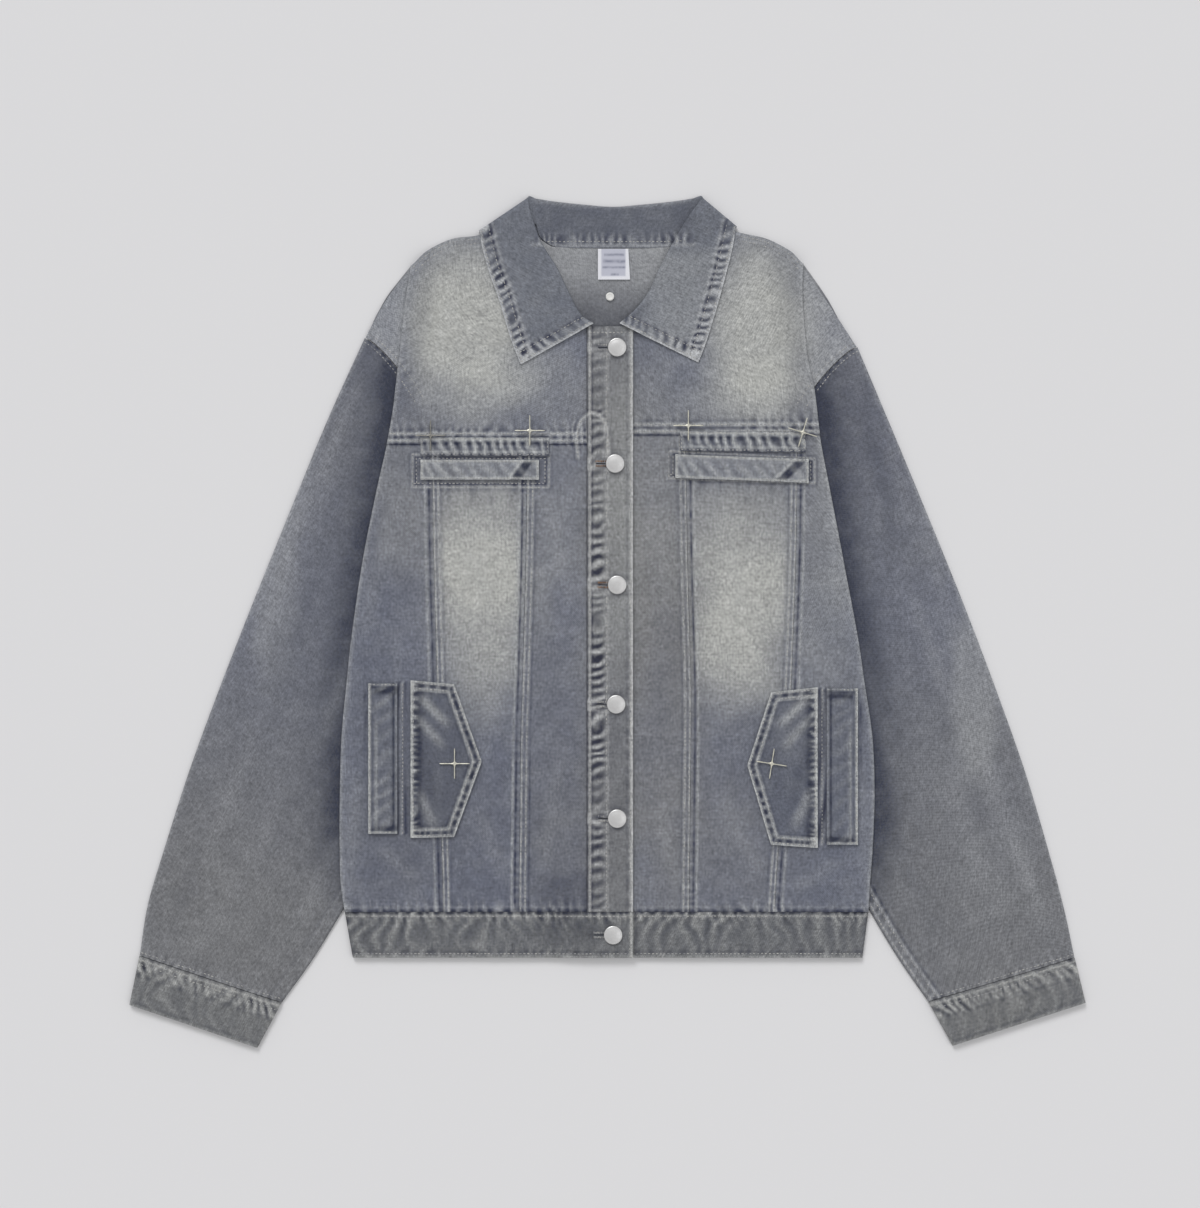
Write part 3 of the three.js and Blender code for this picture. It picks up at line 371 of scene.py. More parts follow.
cross_place = put(tree, "Mapping", [("Vector", twill_in.outputs["Yarn"]), ("Scale", (110.0, 800.0, 1.0))])
crosses = put(tree, "TexNoise", [("Vector", cross_place.outputs[0]), ("Scale", 0.7), ("Detail", 2.0)])
speckle = math_node(tree, "ADD", math_node(tree, "MULTIPLY", slubs.outputs["Fac"], 0.36),
                    math_node(tree, "MULTIPLY", flecks.outputs["Fac"], 0.46))
speckle = math_node(tree, "ADD", speckle, math_node(tree, "MULTIPLY", crosses.outputs["Fac"], 0.18))
speckle = math_node(tree, "MULTIPLY_ADD", ribs.outputs["Fac"], 0.05, speckle)
tree.links.new(speckle, twill_out.inputs["Speckle"])
height = math_node(tree, "ADD", math_node(tree, "MULTIPLY", ribs.outputs["Fac"], 0.5), speckle)
tree.links.new(height, twill_out.inputs["Height"])

# Wash: the dye as the stone wash and the wearing leave it, and painted shade, from the cloth's marks.
wash, wash_in, wash_out = share_group("wash", [
    ("Dye", "INPUT", "Color"), ("Dust", "INPUT", "Color"), ("Bleached", "INPUT", "Color"),
    ("Rubbed", "INPUT", "Color"), ("Unworn and shade", "INPUT", "Color"), ("Speckle", "INPUT", "Float"),
    ("Contrast", "INPUT", "Float"), ("Color", "OUTPUT", "Color")])
tree = wash


def mark_value(tree, name, grain=0.0, speckle=None):
    """A mark of the cloth, roughened by the yarn's speckle, between 0 and 1."""
    value = put(tree, "Attribute", attribute_name=name).outputs["Fac"]
    if grain:
        uneven = math_node(tree, "MULTIPLY_ADD", speckle, 2 * grain, 1 - grain)
        value = math_node(tree, "MULTIPLY", value, uneven)
    return put(tree, "Clamp", [("Value", value)]).outputs[0]


grain = put(tree, "MapRange", [("Value", wash_in.outputs["Speckle"]), ("From Min", 0.4), ("From Max", 0.64)])
grain = grain.outputs[0]
colour = mix_colour(tree, mark_value(tree, "dusty"), wash_in.outputs["Dye"], wash_in.outputs["Dust"])
colour = mix_colour(tree, mark_value(tree, "fade", 0.16, grain), colour, wash_in.outputs["Bleached"])
# the dark mark mixes in the unworn dye colour, which also serves as painted shade and shadow
colour = mix_colour(tree, mark_value(tree, "dark", 0.4, grain), colour, wash_in.outputs["Unworn and shade"])
colour = mix_colour(tree, mark_value(tree, "worn", 0.4, grain), colour, wash_in.outputs["Rubbed"])
cloud_place = put(tree, "TexCoord").outputs["Object"]
clouds = put(tree, "TexNoise", [("Vector", cloud_place), ("Scale", 55.0),
                               ("Detail", 3.0), ("Roughness", 0.6)])
mottle = put(tree, "TexNoise", [("Vector", cloud_place), ("Scale", 360.0),
                               ("Detail", 2.0), ("Roughness", 0.65)])
mottled = math_node(tree, "MULTIPLY_ADD", mottle.outputs["Fac"], 1.0, 0.5)
clouded = math_node(tree, "MULTIPLY_ADD", clouds.outputs["Fac"], 0.22, 0.89)
drift = math_node(tree, "MULTIPLY", clouded, mottled)
spread = math_node(tree, "MULTIPLY_ADD", grain, wash_in.outputs["Contrast"], 1.0)
centred = math_node(tree, "SUBTRACT", spread, math_node(tree, "MULTIPLY", wash_in.outputs["Contrast"], 0.5))
strength = math_node(tree, "MULTIPLY", centred, drift)
toned = put(tree, "VectorMath", [(0, colour), ("Scale", strength)], operation="SCALE")
tree.links.new(toned.outputs[0], wash_out.inputs["Color"])


def srgb(red, green, blue):
    """A colour as a picture gives it, 0 to 255, as the light that it stands for."""
    return tuple(((c / 255 + 0.055) / 1.055) ** 2.4 for c in (red, green, blue)) + (1,)


def denim(name, dye, dust, bleached, rubbed, unworn_and_shade, contrast=0.5, relief=0.00025):
    """Washed cotton twill: matt, a little fuzzy, with the marks of its seams, its wear and painted shade."""
    material = bpy.data.materials.new(name)
    material.use_nodes = True
    tree = material.node_tree
    shader = tree.nodes["Principled BSDF"]
    yarn = put(tree, "Attribute", attribute_name="yarn")
    scaled = put(tree, "VectorMath", [(0, yarn.outputs["Vector"]), ("Scale", MM)], operation="SCALE")
    weave = put(tree, "Group", node_tree=twill)
    tree.links.new(scaled.outputs[0], weave.inputs["Yarn"])
    washed = put(tree, "Group", node_tree=wash)
    for key, value in (("Dye", dye), ("Dust", dust), ("Bleached", bleached), ("Rubbed", rubbed),
                       ("Unworn and shade", unworn_and_shade)):
        washed.inputs[key].default_value = srgb(*value)
    washed.inputs["Contrast"].default_value = contrast
    tree.links.new(weave.outputs["Speckle"], washed.inputs["Speckle"])
    tree.links.new(washed.outputs["Color"], shader.inputs["Base Color"])
    bump = put(tree, "Bump", [("Height", weave.outputs["Height"]), ("Strength", 0.5), ("Distance", relief)])
    tree.links.new(bump.outputs["Normal"], shader.inputs["Normal"])
    shader.inputs["Roughness"].default_value = 0.88
    shader.inputs["Specular IOR Level"].default_value = 0.25
    return material


def back_neck_marks(x, y):
    mark = marks(x, y)
    mark["fade"] = mark["fade"] + 0.35 * smoothstep(y, 285, 320)
    neck_seam = np.exp(-(((y - 338) / 3.0) ** 2)) + np.exp(-(((y - 343) / 3.0) ** 2))
    gathers = 0.5 + 0.5 * np.cos(x * 2 * np.pi / 7 + 2 * noise(x, y, 20))
    mark["worn"] = mark["worn"] + 0.25 * neck_seam * gathers
    # Painted shade: the back darkens towards the front of the neck opening, down in the hole under the collar
    # and fronts.
    mark["dark"] = mark["dark"] + 0.75 * (1 - smoothstep(y, 262, 318))
    return mark


inside_denim = denim("denim_inside", (130, 132, 137), (134, 134, 135), (160, 162, 165), (178, 180, 181),
                     (80, 82, 90), contrast=0.4)


def make_back():
    rows, armhole_rows, shoulder_columns = 110, 42, 50
    left, right = SIDES["left"], SIDES["right"]
    low = np.linspace(0, 1, rows - armhole_rows + 1)[1:]
    edge = [np.vstack([along(s["armhole_line"], np.linspace(0, 1, armhole_rows + 1)),
                       along(s["side_seam_line"], low)]) for s in (left, right)]
    caps = (smooth_line([left["sleeve_top"], (-212, 270.5), (-204.8, 283.1), (-196.7, 295.7),
                         (-176.8, 320.9)]),
            smooth_line([(176, 322.7), (194.9, 295.7), (210, 270.5), right["sleeve_top"]]))
    shares = np.linspace(0, 1, shoulder_columns + 1)
    top = np.vstack([
        along(np.vstack([caps[0], left["shoulder_line"][::-1][1:]]), shares),
        along(BACK_NECK, np.linspace(0, 1, 41))[1:-1],
        along(np.vstack([right["shoulder_line"], caps[1][1:]]), shares),
    ])
    u = np.linspace(0, 1, len(top))[:, None]
    bump = top - lerp(top[0], top[-1], u)
    falling = np.maximum(0, 1 - np.arange(rows + 1) / armhole_rows) ** 1.5
    grid = np.empty((len(top), rows + 1, 3))
    inset = HIDDEN_SEAM * (np.maximum(0, 1 - 12 * u) - np.maximum(0, 12 * u - 11))
    for k in (0, 1):
        grid[..., k] = lerp(edge[0][:, k], edge[1][:, k], u) + bump[:, k][:, None] * falling
    grid[..., 0] += inset
    grid[..., 2] = back_z(grid[..., 0], grid[..., 1])
    back = cloth("back", grid, CLOTH, back_neck_marks)
    back.data.materials.append(inside_denim)
    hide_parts("back_panel")


make_back()


# The sleeves: each a wide flat tube of denim that lies beside the body and, further in, under it. A
# felled seam runs down its inner edge, and it is sewn into the armhole. Long soft folds run down it.

SLEEVE_Z = 2.4  # its top layer where the body presses on it
SLEEVE_CROWN = 2.3  # how much higher it lies where it is free
FRONT_OVER_SLEEVE_Z = 5.7
FRONT_EDGES = dict(zip(
    ("y", "fold_left", "outer_left", "inner_left", "inner_right", "outer_right", "fold_right"),
    np.array([  # edges and seams of the lower front, from the chest seam to the hem
        (175, -195.8, -158.5, -71.5, 69.5, 170.5, 190), (159, -198.5, -158, -71.5, 70, 170.5, 192.3),
        (119, -207.5, -157, -72.5, 71, 170, 200), (56, -220, -156, -73.5, 72, 169, 212),
        (-16, -230.5, -154, -75.5, 74, 166.5, 225.5), (-54, -234.5, -153, -76.5, 75, 165, 231),
        (-102, -239, -151.5, -78, 75, 162, 238), (-151, -240.5, -150, -78.5, 74.5, 158, 240),
        (-199, -240.8, -149, -79, 74, 154, 238.5), (-234, -239.8, -148, -79.5, 73.5, 151.5, 236),
        (-262, -236, -147.5, -79.5, 73.5, 150, 234.5),
    ])[::-1].T,
))
SOFT_FOLDS = [  # from x, y to x, y, width, height: the largest folds, as deep as in the solids
    (228, 230, 290, -20, 16, -0.9), (265, 215, 330, -60, 22, 0.7), (-228, 215, -300, 20, 20, 0.7),
    (-262, 60, -330, -150, 24, -0.8), (300, -120, 350, -260, 18, 0.7), (-300, -170, -340, -290, 18, 0.6),
    (-120, 300, -60, 190, 22, -0.15), (120, 300, 60, 200, 22, -0.15), (-110, 110, -120, -30, 18, 0.3),
    (118, 110, 125, -30, 18, 0.3), (110, -60, 118, -240, 16, -0.25), (-112, -60, -105, -240, 16, -0.25),
]
SLEEVE_CREASES = [  # smaller ones, placed one by one
    (-262, 150, -318, -40, 9, 0.55), (-240, 120, -292, -60, 7, -0.4), (-205, 40, -262, -120, 8, 0.45),
    (-300, -60, -372, -230, 9, 0.5), (-250, -120, -330, -250, 8, -0.4), (-232, -180, -290, -290, 7, 0.4),
    (-345, -150, -392, -280, 7, -0.45), (-225, 215, -262, 120, 6, 0.4), (-330, -230, -372, -300, 9, 0.35),
    (232, 190, 262, 60, 6, -0.6), (244, 196, 276, 70, 6, 0.45), (262, 60, 312, -90, 8, 0.5),
    (226, -20, 262, -150, 8, 0.4), (285, -40, 345, -200, 7, -0.4), (330, -110, 385, -250, 9, 0.5),
    (250, -170, 300, -290, 8, -0.35), (360, -180, 398, -290, 7, 0.4), (300, 60, 330, -30, 6, -0.35),
    (-380, -230, -330, -262, 10, -0.35), (372, -240, 322, -276, 10, 0.35), (-300, 90, -262, 66, 8, -0.3),
]


def at_height(column, y):
    """One column of the front's edges at any height, smoothly between its rows."""
    ys, xs = FRONT_EDGES["y"], FRONT_EDGES[column]
    slopes = np.concatenate([[(xs[1] - xs[0]) / (ys[1] - ys[0])], (xs[2:] - xs[:-2]) / (ys[2:] - ys[:-2]),
                             [(xs[-1] - xs[-2]) / (ys[-1] - ys[-2])]])
    k = np.clip(np.searchsorted(ys, y), 1, len(ys) - 1)
    span = ys[k] - ys[k - 1]
    f = np.clip((y - ys[k - 1]) / span, 0, 1)
    start = xs[k - 1] * (1 + 2 * f) + f * span * slopes[k - 1]
    end = xs[k] * (3 - 2 * f) - (1 - f) * span * slopes[k]
    return (1 - f) ** 2 * start + f**2 * end


def fold_x(side, y):
    column = "fold_left" if side["sign"] < 0 else "fold_right"
    return np.where(y > side["fold"][-1][1], x_at(side["fold_line"], y), at_height(column, y))


def folded(x, y, folds):
    """Height of some folds at a place: each a ridge or a trough along a line, soft at its ends."""
    height = 0
    for x0, y0, x1, y1, width, tall in folds:
        dx, dy = x1 - x0, y1 - y0
        t = ((x - x0) * dx + (y - y0) * dy) / (dx * dx + dy * dy)
        away = ((x - x0) * dy - (y - y0) * dx) / math.hypot(dx, dy) / width
        ends = smoothstep(t, -0.15, 0.3) * (1 - smoothstep(t, 0.7, 1.15))
        height = height + tall * ends * np.exp(-away * away)
    return height


def follow(line, x, y):
    """How far along a line of points each place lies, and how far to its left."""
    best = np.full(np.shape(x), 1e9)
    run, away = np.zeros(np.shape(x)), np.zeros(np.shape(x))
    length = 0.0
    line = np.asarray(line, float)
    for (ax, ay), (bx, by) in zip(line[:-1], line[1:]):
        dx, dy = bx - ax, by - ay
        size = math.hypot(dx, dy)
        t = np.clip(((x - ax) * dx + (y - ay) * dy) / size**2, 0, 1)
        px, py = x - ax - t * dx, y - ay - t * dy
        distance = np.hypot(px, py)
        nearer = distance < best
        best = np.where(nearer, distance, best)
        run = np.where(nearer, length + t * size, run)
        away = np.where(nearer, np.where(dx * py - dy * px >= 0, distance, -distance), away)
        length += size
    return run, away


def pucker(mark, line, x, y, pitch, reach, depth, middle=0.0, slant=0.0, seed=0, tint=1.0):
    """Gathers of the cloth across a line of stitches: ridges rubbed pale with dark troughs between."""
    run, away = follow(line, x, y)
    away = away - middle
    turns = (run + slant * away) / pitch + 0.65 * noise(run, away * 0.2, 2.4 * pitch, seed)
    turns = turns + 0.28 * noise(run, away, 0.9 * pitch, seed + 2)
    uneven = 0.6 + 0.4 * noise(run, away * 0.3, 3.1 * pitch, seed + 1)
    ripple = np.cos(2 * np.pi * turns) * uneven * np.exp(-((away / reach) ** 2))
    mark["relief"] = mark["relief"] + depth * ripple
    mark["worn"] = mark["worn"] + tint * np.maximum(ripple, 0)
    mark["dark"] = mark["dark"] + tint * np.maximum(-ripple, 0)


def ridge(mark, line, x, y, middle, width, height, worn=0.0, dark=0.0):
    """A narrow raised or sunk line beside another, rubbed or dark."""
    away = follow(line, x, y)[1] - middle
    share = np.exp(-((away / width) ** 2))
    mark["relief"] = mark["relief"] + height * share
    mark["worn"] = mark["worn"] + worn * share
    mark["dark"] = mark["dark"] + dark * share


def patch_of(x, y, middle, size, softness=0.5):
    """1 inside an oval, falling softly to 0 outside it."""
    distance = np.hypot((x - middle[0]) / size[0], (y - middle[1]) / size[1])
    return 1 - smoothstep(distance + 0.12 * noise(x, y, 30, 21), 1 - softness, 1 + softness)


def turn(place, out, z_from, z_to, thickness=CLOTH, steps=6):
    """Cloth turned from one layer to another round a line that faces outward."""
    angle = np.pi * (np.arange(1, steps) / steps)[:, None]
    radius = abs(z_from - z_to) / 2
    inset = radius * np.sin(angle) - radius - thickness / 2
    z = (z_from + z_to) / 2 + np.cos(angle) * (z_from - z_to) / 2
    place, out = np.asarray(place), np.asarray(out)
    return [np.column_stack([place[:, 0] + out[:, 0] * i, place[:, 1] + out[:, 1] * i,
                             np.full(len(place), h)]) for i, h in zip(inset[:, 0], z[:, 0])]


def flat_tube(outer_at, inner_at, rows, low_z, edge_z, top_z, thickness, across, below, warp=None):
    """A closed flat tube: its upper layer, a turn, its lower layer and a turn back, in rows down it."""
    depth = abs(edge_z - low_z) / 2 + thickness / 2
    v = np.linspace(0, 1, rows + 1)
    outer, inner = outer_at(v), inner_at(v)
    if warp:
        outer, inner = warp(outer, 1.0, v), warp(inner, 0.0, v)
    out = outer - inner
    width = np.hypot(*out.T)[:, None]
    out = out / width
    from_x, to_x = inner_at(v), outer_at(v)
    straight = (to_x - from_x) / np.hypot(*(to_x - from_x).T)[:, None]

    def layer(w, height):
        place = lerp(from_x + straight * depth, to_x - straight * depth, w)
        if warp:
            place = warp(place, w, v)
        z = height(place[:, 0], place[:, 1], w, v) if callable(height) else np.full(len(place), height)
        return np.column_stack([place, z])

    ease = np.linspace(0, 1, across + 1)
    ease = ease - 0.09 * np.sin(2 * np.pi * ease)
    ring = [layer(w, top_z) for w in ease]
    ring += turn(outer, out, edge_z, low_z, thickness)
    ring += [layer(w, low_z) for w in np.linspace(1, 0, below + 1)]
    ring += turn(inner, -out, low_z, edge_z, thickness)
    ring = np.array(ring)
    return ring[::-1] if ring[1, 0, 0] > ring[0, 0, 0] else ring


def sleeve_marks(x, y):
    mark = marks(x, y)
    mark["relief"] = mark["relief"] + folded(x, y, SLEEVE_CREASES)
    # The folds' ridges are rubbed pale; their troughs are darkened, partly unworn dye and partly painted
    # shade.
    rub_and_shade = folded(x, y, SLEEVE_CREASES) + 0.5 * folded(x, y, SOFT_FOLDS)
    mark["worn"] = mark["worn"] + 0.28 * np.maximum(rub_and_shade, 0)
    mark["dark"] = mark["dark"] + 0.22 * np.maximum(-rub_and_shade, 0)
    mark["dusty"] = mark["dusty"] + 0.75 * (1 - smoothstep(y, -260, 40))
    mark["dark"] = mark["dark"] + 0.16 * smoothstep(y, 70, 190)
    mark["fade"] = mark["fade"] + 0.4 * patch_of(x, y, (330, -55), (20, 80))
    mark["fade"] = mark["fade"] + 0.28 * patch_of(x, y, (-300, 40), (22, 90))
    for side in SIDES.values():
        # Painted shadow: each sleeve is darkened in a band beside the body's folded edge, where the body's
        # shadow falls.
        away = (x - fold_x(side, np.clip(y, HEM_Y, 320))) * side["sign"]
        away = np.maximum(away, 0)
        near = 0.74 * np.exp(-((away / 20) ** 2)) + 0.14 * np.exp(-((away / 46) ** 2))
        mark["dark"] = mark["dark"] + near * (x * side["sign"] > 0) * smoothstep(y, -300, -180)
        edge = side["outer_line"]
        ridge(mark, edge, x, y, 0, 2.0, 0, worn=0.3)
        seam, out = side["inner_line"], side["sign"]
        shown = 1.0 if out > 0 else 0.25  # the left sleeve's seam has turned under
        pucker(mark, seam, x, y, 11, 6, 0.3 * shown, middle=out * 7, slant=0.5, seed=31, tint=0.5 * shown)
        ridge(mark, seam, x, y, out * 3.0, 1.0, 0.1, worn=0.5 * shown)
        ridge(mark, seam, x, y, out * 10.0, 1.2, 0.1, worn=0.4 * shown)
        ridge(mark, seam, x, y, out * 12.5, 1.4, -0.2 * shown, dark=0.5 * shown)
        cuff_seam = [side["outer_line"][-1], side["inner_line"][-1]]
        pucker(mark, cuff_seam, x, y, 7.2, 6, 0.35, seed=33, tint=0.5)
        pucker(mark, side["armhole_line"], x, y, 9, 5, 0.2, seed=35, tint=0.4)
        ridge(mark, side["armhole_line"], x, y, 0, 1.3, -0.1, dark=0.7)
    return mark


sleeve_denim = denim("denim_sleeves", (110, 113, 124), (114, 115, 118), (158, 160, 162), (166, 168, 172),
                     (56, 60, 74), contrast=0.55)


def make_sleeve(label, side):
    low, high = np.array(side["underarm"]), np.array(side["sleeve_top"])
    sign = side["sign"]

    def warp(place, w, v):
        fade = np.maximum(0, 1 - 3 * v) ** 2
        bulge = armhole(side, 1 - w) - lerp(low, high, w)
        inset = lerp(0.4 * HIDDEN_SEAM, -SEAM / 2, v)
        return np.column_stack([place[:, 0] + bulge[0] * fade + sign * inset,
                                place[:, 1] + bulge[1] * fade - np.minimum(0, inset)])

    def top_z(x, y, w, v):
        away = np.where(y > HEM_Y - 10, (x - fold_x(side, y)) * sign, 200)
        free = smoothstep(away, 3, 55) * smoothstep(v, 0, 0.12)
        edge = max(np.sin(np.pi * w), 0) ** 0.6
        return SLEEVE_Z + (SLEEVE_CROWN + folded(x, y, SOFT_FOLDS)) * edge * free

    ring = flat_tube(lambda v: along(side["outer_line"], v), lambda v: along(side["inner_line"], v),
                     230, BACK_Z, SLEEVE_Z, top_z, CLOTH, 76, 12, warp)
    sleeve = cloth("sleeve_of_" + label, ring, CLOTH, sleeve_marks, ring=True)
    sleeve.data.materials.append(sleeve_denim)
    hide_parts("sleeve_" + label)


for label, side in SIDES.items():
    make_sleeve(label, side)


# The lower fronts: a centre, a middle and a side panel of denim on each side, joined by felled seams
# with rows of stitches. The side panels turn under along the body's edge and lie over the sleeves.

FRONT_Z = 3.6
PANEL_ROWS = 205
EASE = 0.09  # rows and columns stand closer together beside a seam
BLEACHED = [  # oval patches that were sanded pale: middle, half width and height, strength, and the
    # share of it that passes the seams beside the middle panel
    ((-121, 266), (48, 62), 0.95, 1), ((-112, 200), (44, 26), 0.2, 1), ((139, 270), (45, 62), 0.93, 1),
    ((126, 200), (48, 28), 0.5, 1), ((-45, 200), (30, 44), 0.18, 1), ((-160, 250), (16, 60), 0.25, 1),
    ((-113, 75), (52, 60), 0.62, 0.2),
    ((-112, 10), (46, 62), 0.62, 0.2), ((122, 66), (54, 60), 0.58, 0.25), ((122, 0), (46, 64), 0.55, 0.25),
    ((108, -32), (34, 40), 0.35, 0.25), ((-113, -60), (34, 40), 0.14, 0.2), ((44, 120), (30, 130), 0.14, 1),
    ((-45, 90), (26, 70), 0.1, 1), ((200, 120), (24, 90), 0.26, 1), ((-188, 96), (20, 60), 0.2, 1),
    ((200, -6), (28, 60), 0.24, 1), ((-150, 330), (24, 30), 0.12, 1),
]
DUSTY = [((52, -40), (34, 210), 0.6), ((120, 30), (60, 130), 0.35), ((-112, 40), (60, 110), 0.3),
         ((-45, -160), (34, 120), 0.3), ((110, -200), (60, 60), 0.4), ((4, 0), (26, 290), 0.55)]
DARKER = [((-120, -190), (60, 90), 0.16), ((120, -190), (60, 90), 0.05), ((-205, 60), (26, 160), 0.05),
          ((-40, -190), (36, 80), 0.14), ((-205, -210), (40, 60), 0.2), ((205, -210), (40, 60), 0.12)]
FRONT_CREASES = [  # small soft folds, placed one by one
    (-30, 240, -120, 190, 9, 0.35), (-150, 330, -178, 230, 8, -0.4), (-140, 300, -160, 200, 7, 0.35),
    (60, 250, 130, 190, 9, 0.35), (165, 320, 172, 220, 8, -0.4), (110, 330, 150, 240, 9, 0.3),
    (-60, 120, -30, 20, 7, 0.3), (-55, -20, -34, -120, 8, -0.3), (-40, -110, -62, -230, 7, 0.3),
    (40, 110, 56, 10, 7, 0.3), (58, 0, 42, -110, 8, -0.3), (46, -130, 60, -240, 7, 0.3),
    (-130, 90, -100, 0, 10, 0.3), (-100, -50, -120, -140, 9, 0.3), (100, 90, 130, -10, 10, 0.3),
    (140, -60, 100, -90, 8, 0.3), (-190, 120, -222, -20, 8, 0.45), (-176, 60, -200, -40, 7, -0.35),
    (192, 130, 214, -10, 8, 0.45), (180, 60, 200, -30, 7, -0.35), (-225, -140, -232, -240, 7, 0.4),
    (228, -120, 232, -235, 7, 0.4), (-205, -200, -170, -235, 8, 0.35), (210, -215, 165, -240, 8, 0.35),
    (-120, -160, -90, -235, 8, 0.35), (95, -150, 140, -230, 8, 0.35), (-70, 40, -40, 55, 8, 0.25),
]
SEAM_TRACKS = {  # beside each seam, to the picture's right: rubbed and dark lines and their strength
    "outer_left": [(-7.0, 0.5), (-3.4, -1.0), (-1.2, -0.3), (0.8, 0.8), (2.9, -0.35), (4.9, 0.7),
                   (7.6, -0.35)],
    "inner_left": [(-6.6, 0.6), (-3.8, -1.0), (1.2, 0.65), (3.3, -0.35), (5.4, 0.5), (8.2, -0.6)],
    "inner_right": [(-8.0, -0.5), (-5.2, 0.6), (-3.2, -0.3), (-1.0, 0.6), (3.6, -0.95), (6.6, 0.6)],
    "outer_right": [(-7.4, -0.4), (-4.8, 0.7), (-2.8, -0.3), (-0.8, 0.7), (3.4, -0.95), (6.8, 0.5)],
}
LEAF_CORNERS = [((113, 340), (81.5, 233.6), (10.4, 268.6)), ((-113, 338.9), (-77.9, 231.8), (-12.2, 268.6))]
TRIM_BOXES = [(-168, -52, 128, 167), (60, 181, 125, 173), (-215, -188, -190, -54), (196, 225, -200, -59),
              (-177, -112, -194, -51), (125, 189, -203, -58)]
WELT_FRAMES = {  # the stitched frames of the chest pockets
    "left": [(-175, 121.5), (-52.7, 121.5), (-52.7, 150.8), (-175, 150.8), (-175, 121.5)],
    "right": [(55.4, 129.6), (185.8, 125.2), (185.8, 147), (55.4, 154), (55.4, 129.6)],
}
ARCH = smooth_line([(-26.5, 148), (-27.5, 164), (-25, 179), (-14, 188.5), (-4.5, 182), (0, 166), (0.5, 150)])
POCKET_STRIPS = [((-187, -181), (-189, -54)), ((190.6, 194.6), (-199, -59))]
SHADED_POCKET_MOUTHS = [(-217.4, -140, -64), (227.2, -150, -70)]
FRONT_YS = np.linspace(172, HEM_Y, 30)
SEAM_LINES = {name: np.column_stack([at_height(name, FRONT_YS), FRONT_YS]) for name in SEAM_TRACKS}
CHEST_LINES = {"left": [(-200, 160), (-18, 160)], "right": [(24, 168.5), (192, 168.5)]}


def front_z(x, y):
    under_placket = (1 - smoothstep(x, 28, 60)) * smoothstep(x, -10, -9)
    onto_placket = smoothstep(x, -50, -24) * (1 - smoothstep(x, -10, -9))
    over = (FRONT_OVER_SLEEVE_Z - FRONT_Z) * over_sleeve(x, y)
    return FRONT_Z - 0.6 * under_placket + 0.5 * onto_placket + over + folded(x, y, SOFT_FOLDS)


def covered(x, y):
    """1 where the collar, the placket or a pocket's trim lies on the front, which is pressed flat there."""
    share = smoothstep(x, -23, -19) * (1 - smoothstep(x, 24, 28)) * smoothstep(270 - y, 0, 3)
    for (outer_x, outer_y), (point_x, point_y), (inner_x, inner_y) in LEAF_CORNERS:
        sign = math.copysign(1, point_x)
        run_x, run_y = point_x - outer_x, point_y - outer_y
        inside = ((x - outer_x) * run_y - (y - outer_y) * run_x) / math.hypot(run_x, run_y) * sign
        run_x, run_y = inner_x - point_x, inner_y - point_y
        above = ((x - point_x) * run_y - (y - point_y) * run_x) / math.hypot(run_x, run_y) * sign
        leaf = smoothstep(inside, -4, -1) * smoothstep(above, -4, -1) * (x * sign > 0)
        share = np.maximum(share, leaf)
    for x0, x1, y0, y1 in TRIM_BOXES:
        box = smoothstep(x, x0 - 3, x0) * smoothstep(-x, -x1 - 3, -x1)
        share = np.maximum(share, box * smoothstep(y, y0 - 3, y0) * smoothstep(-y, -y1 - 3, -y1))
    return share


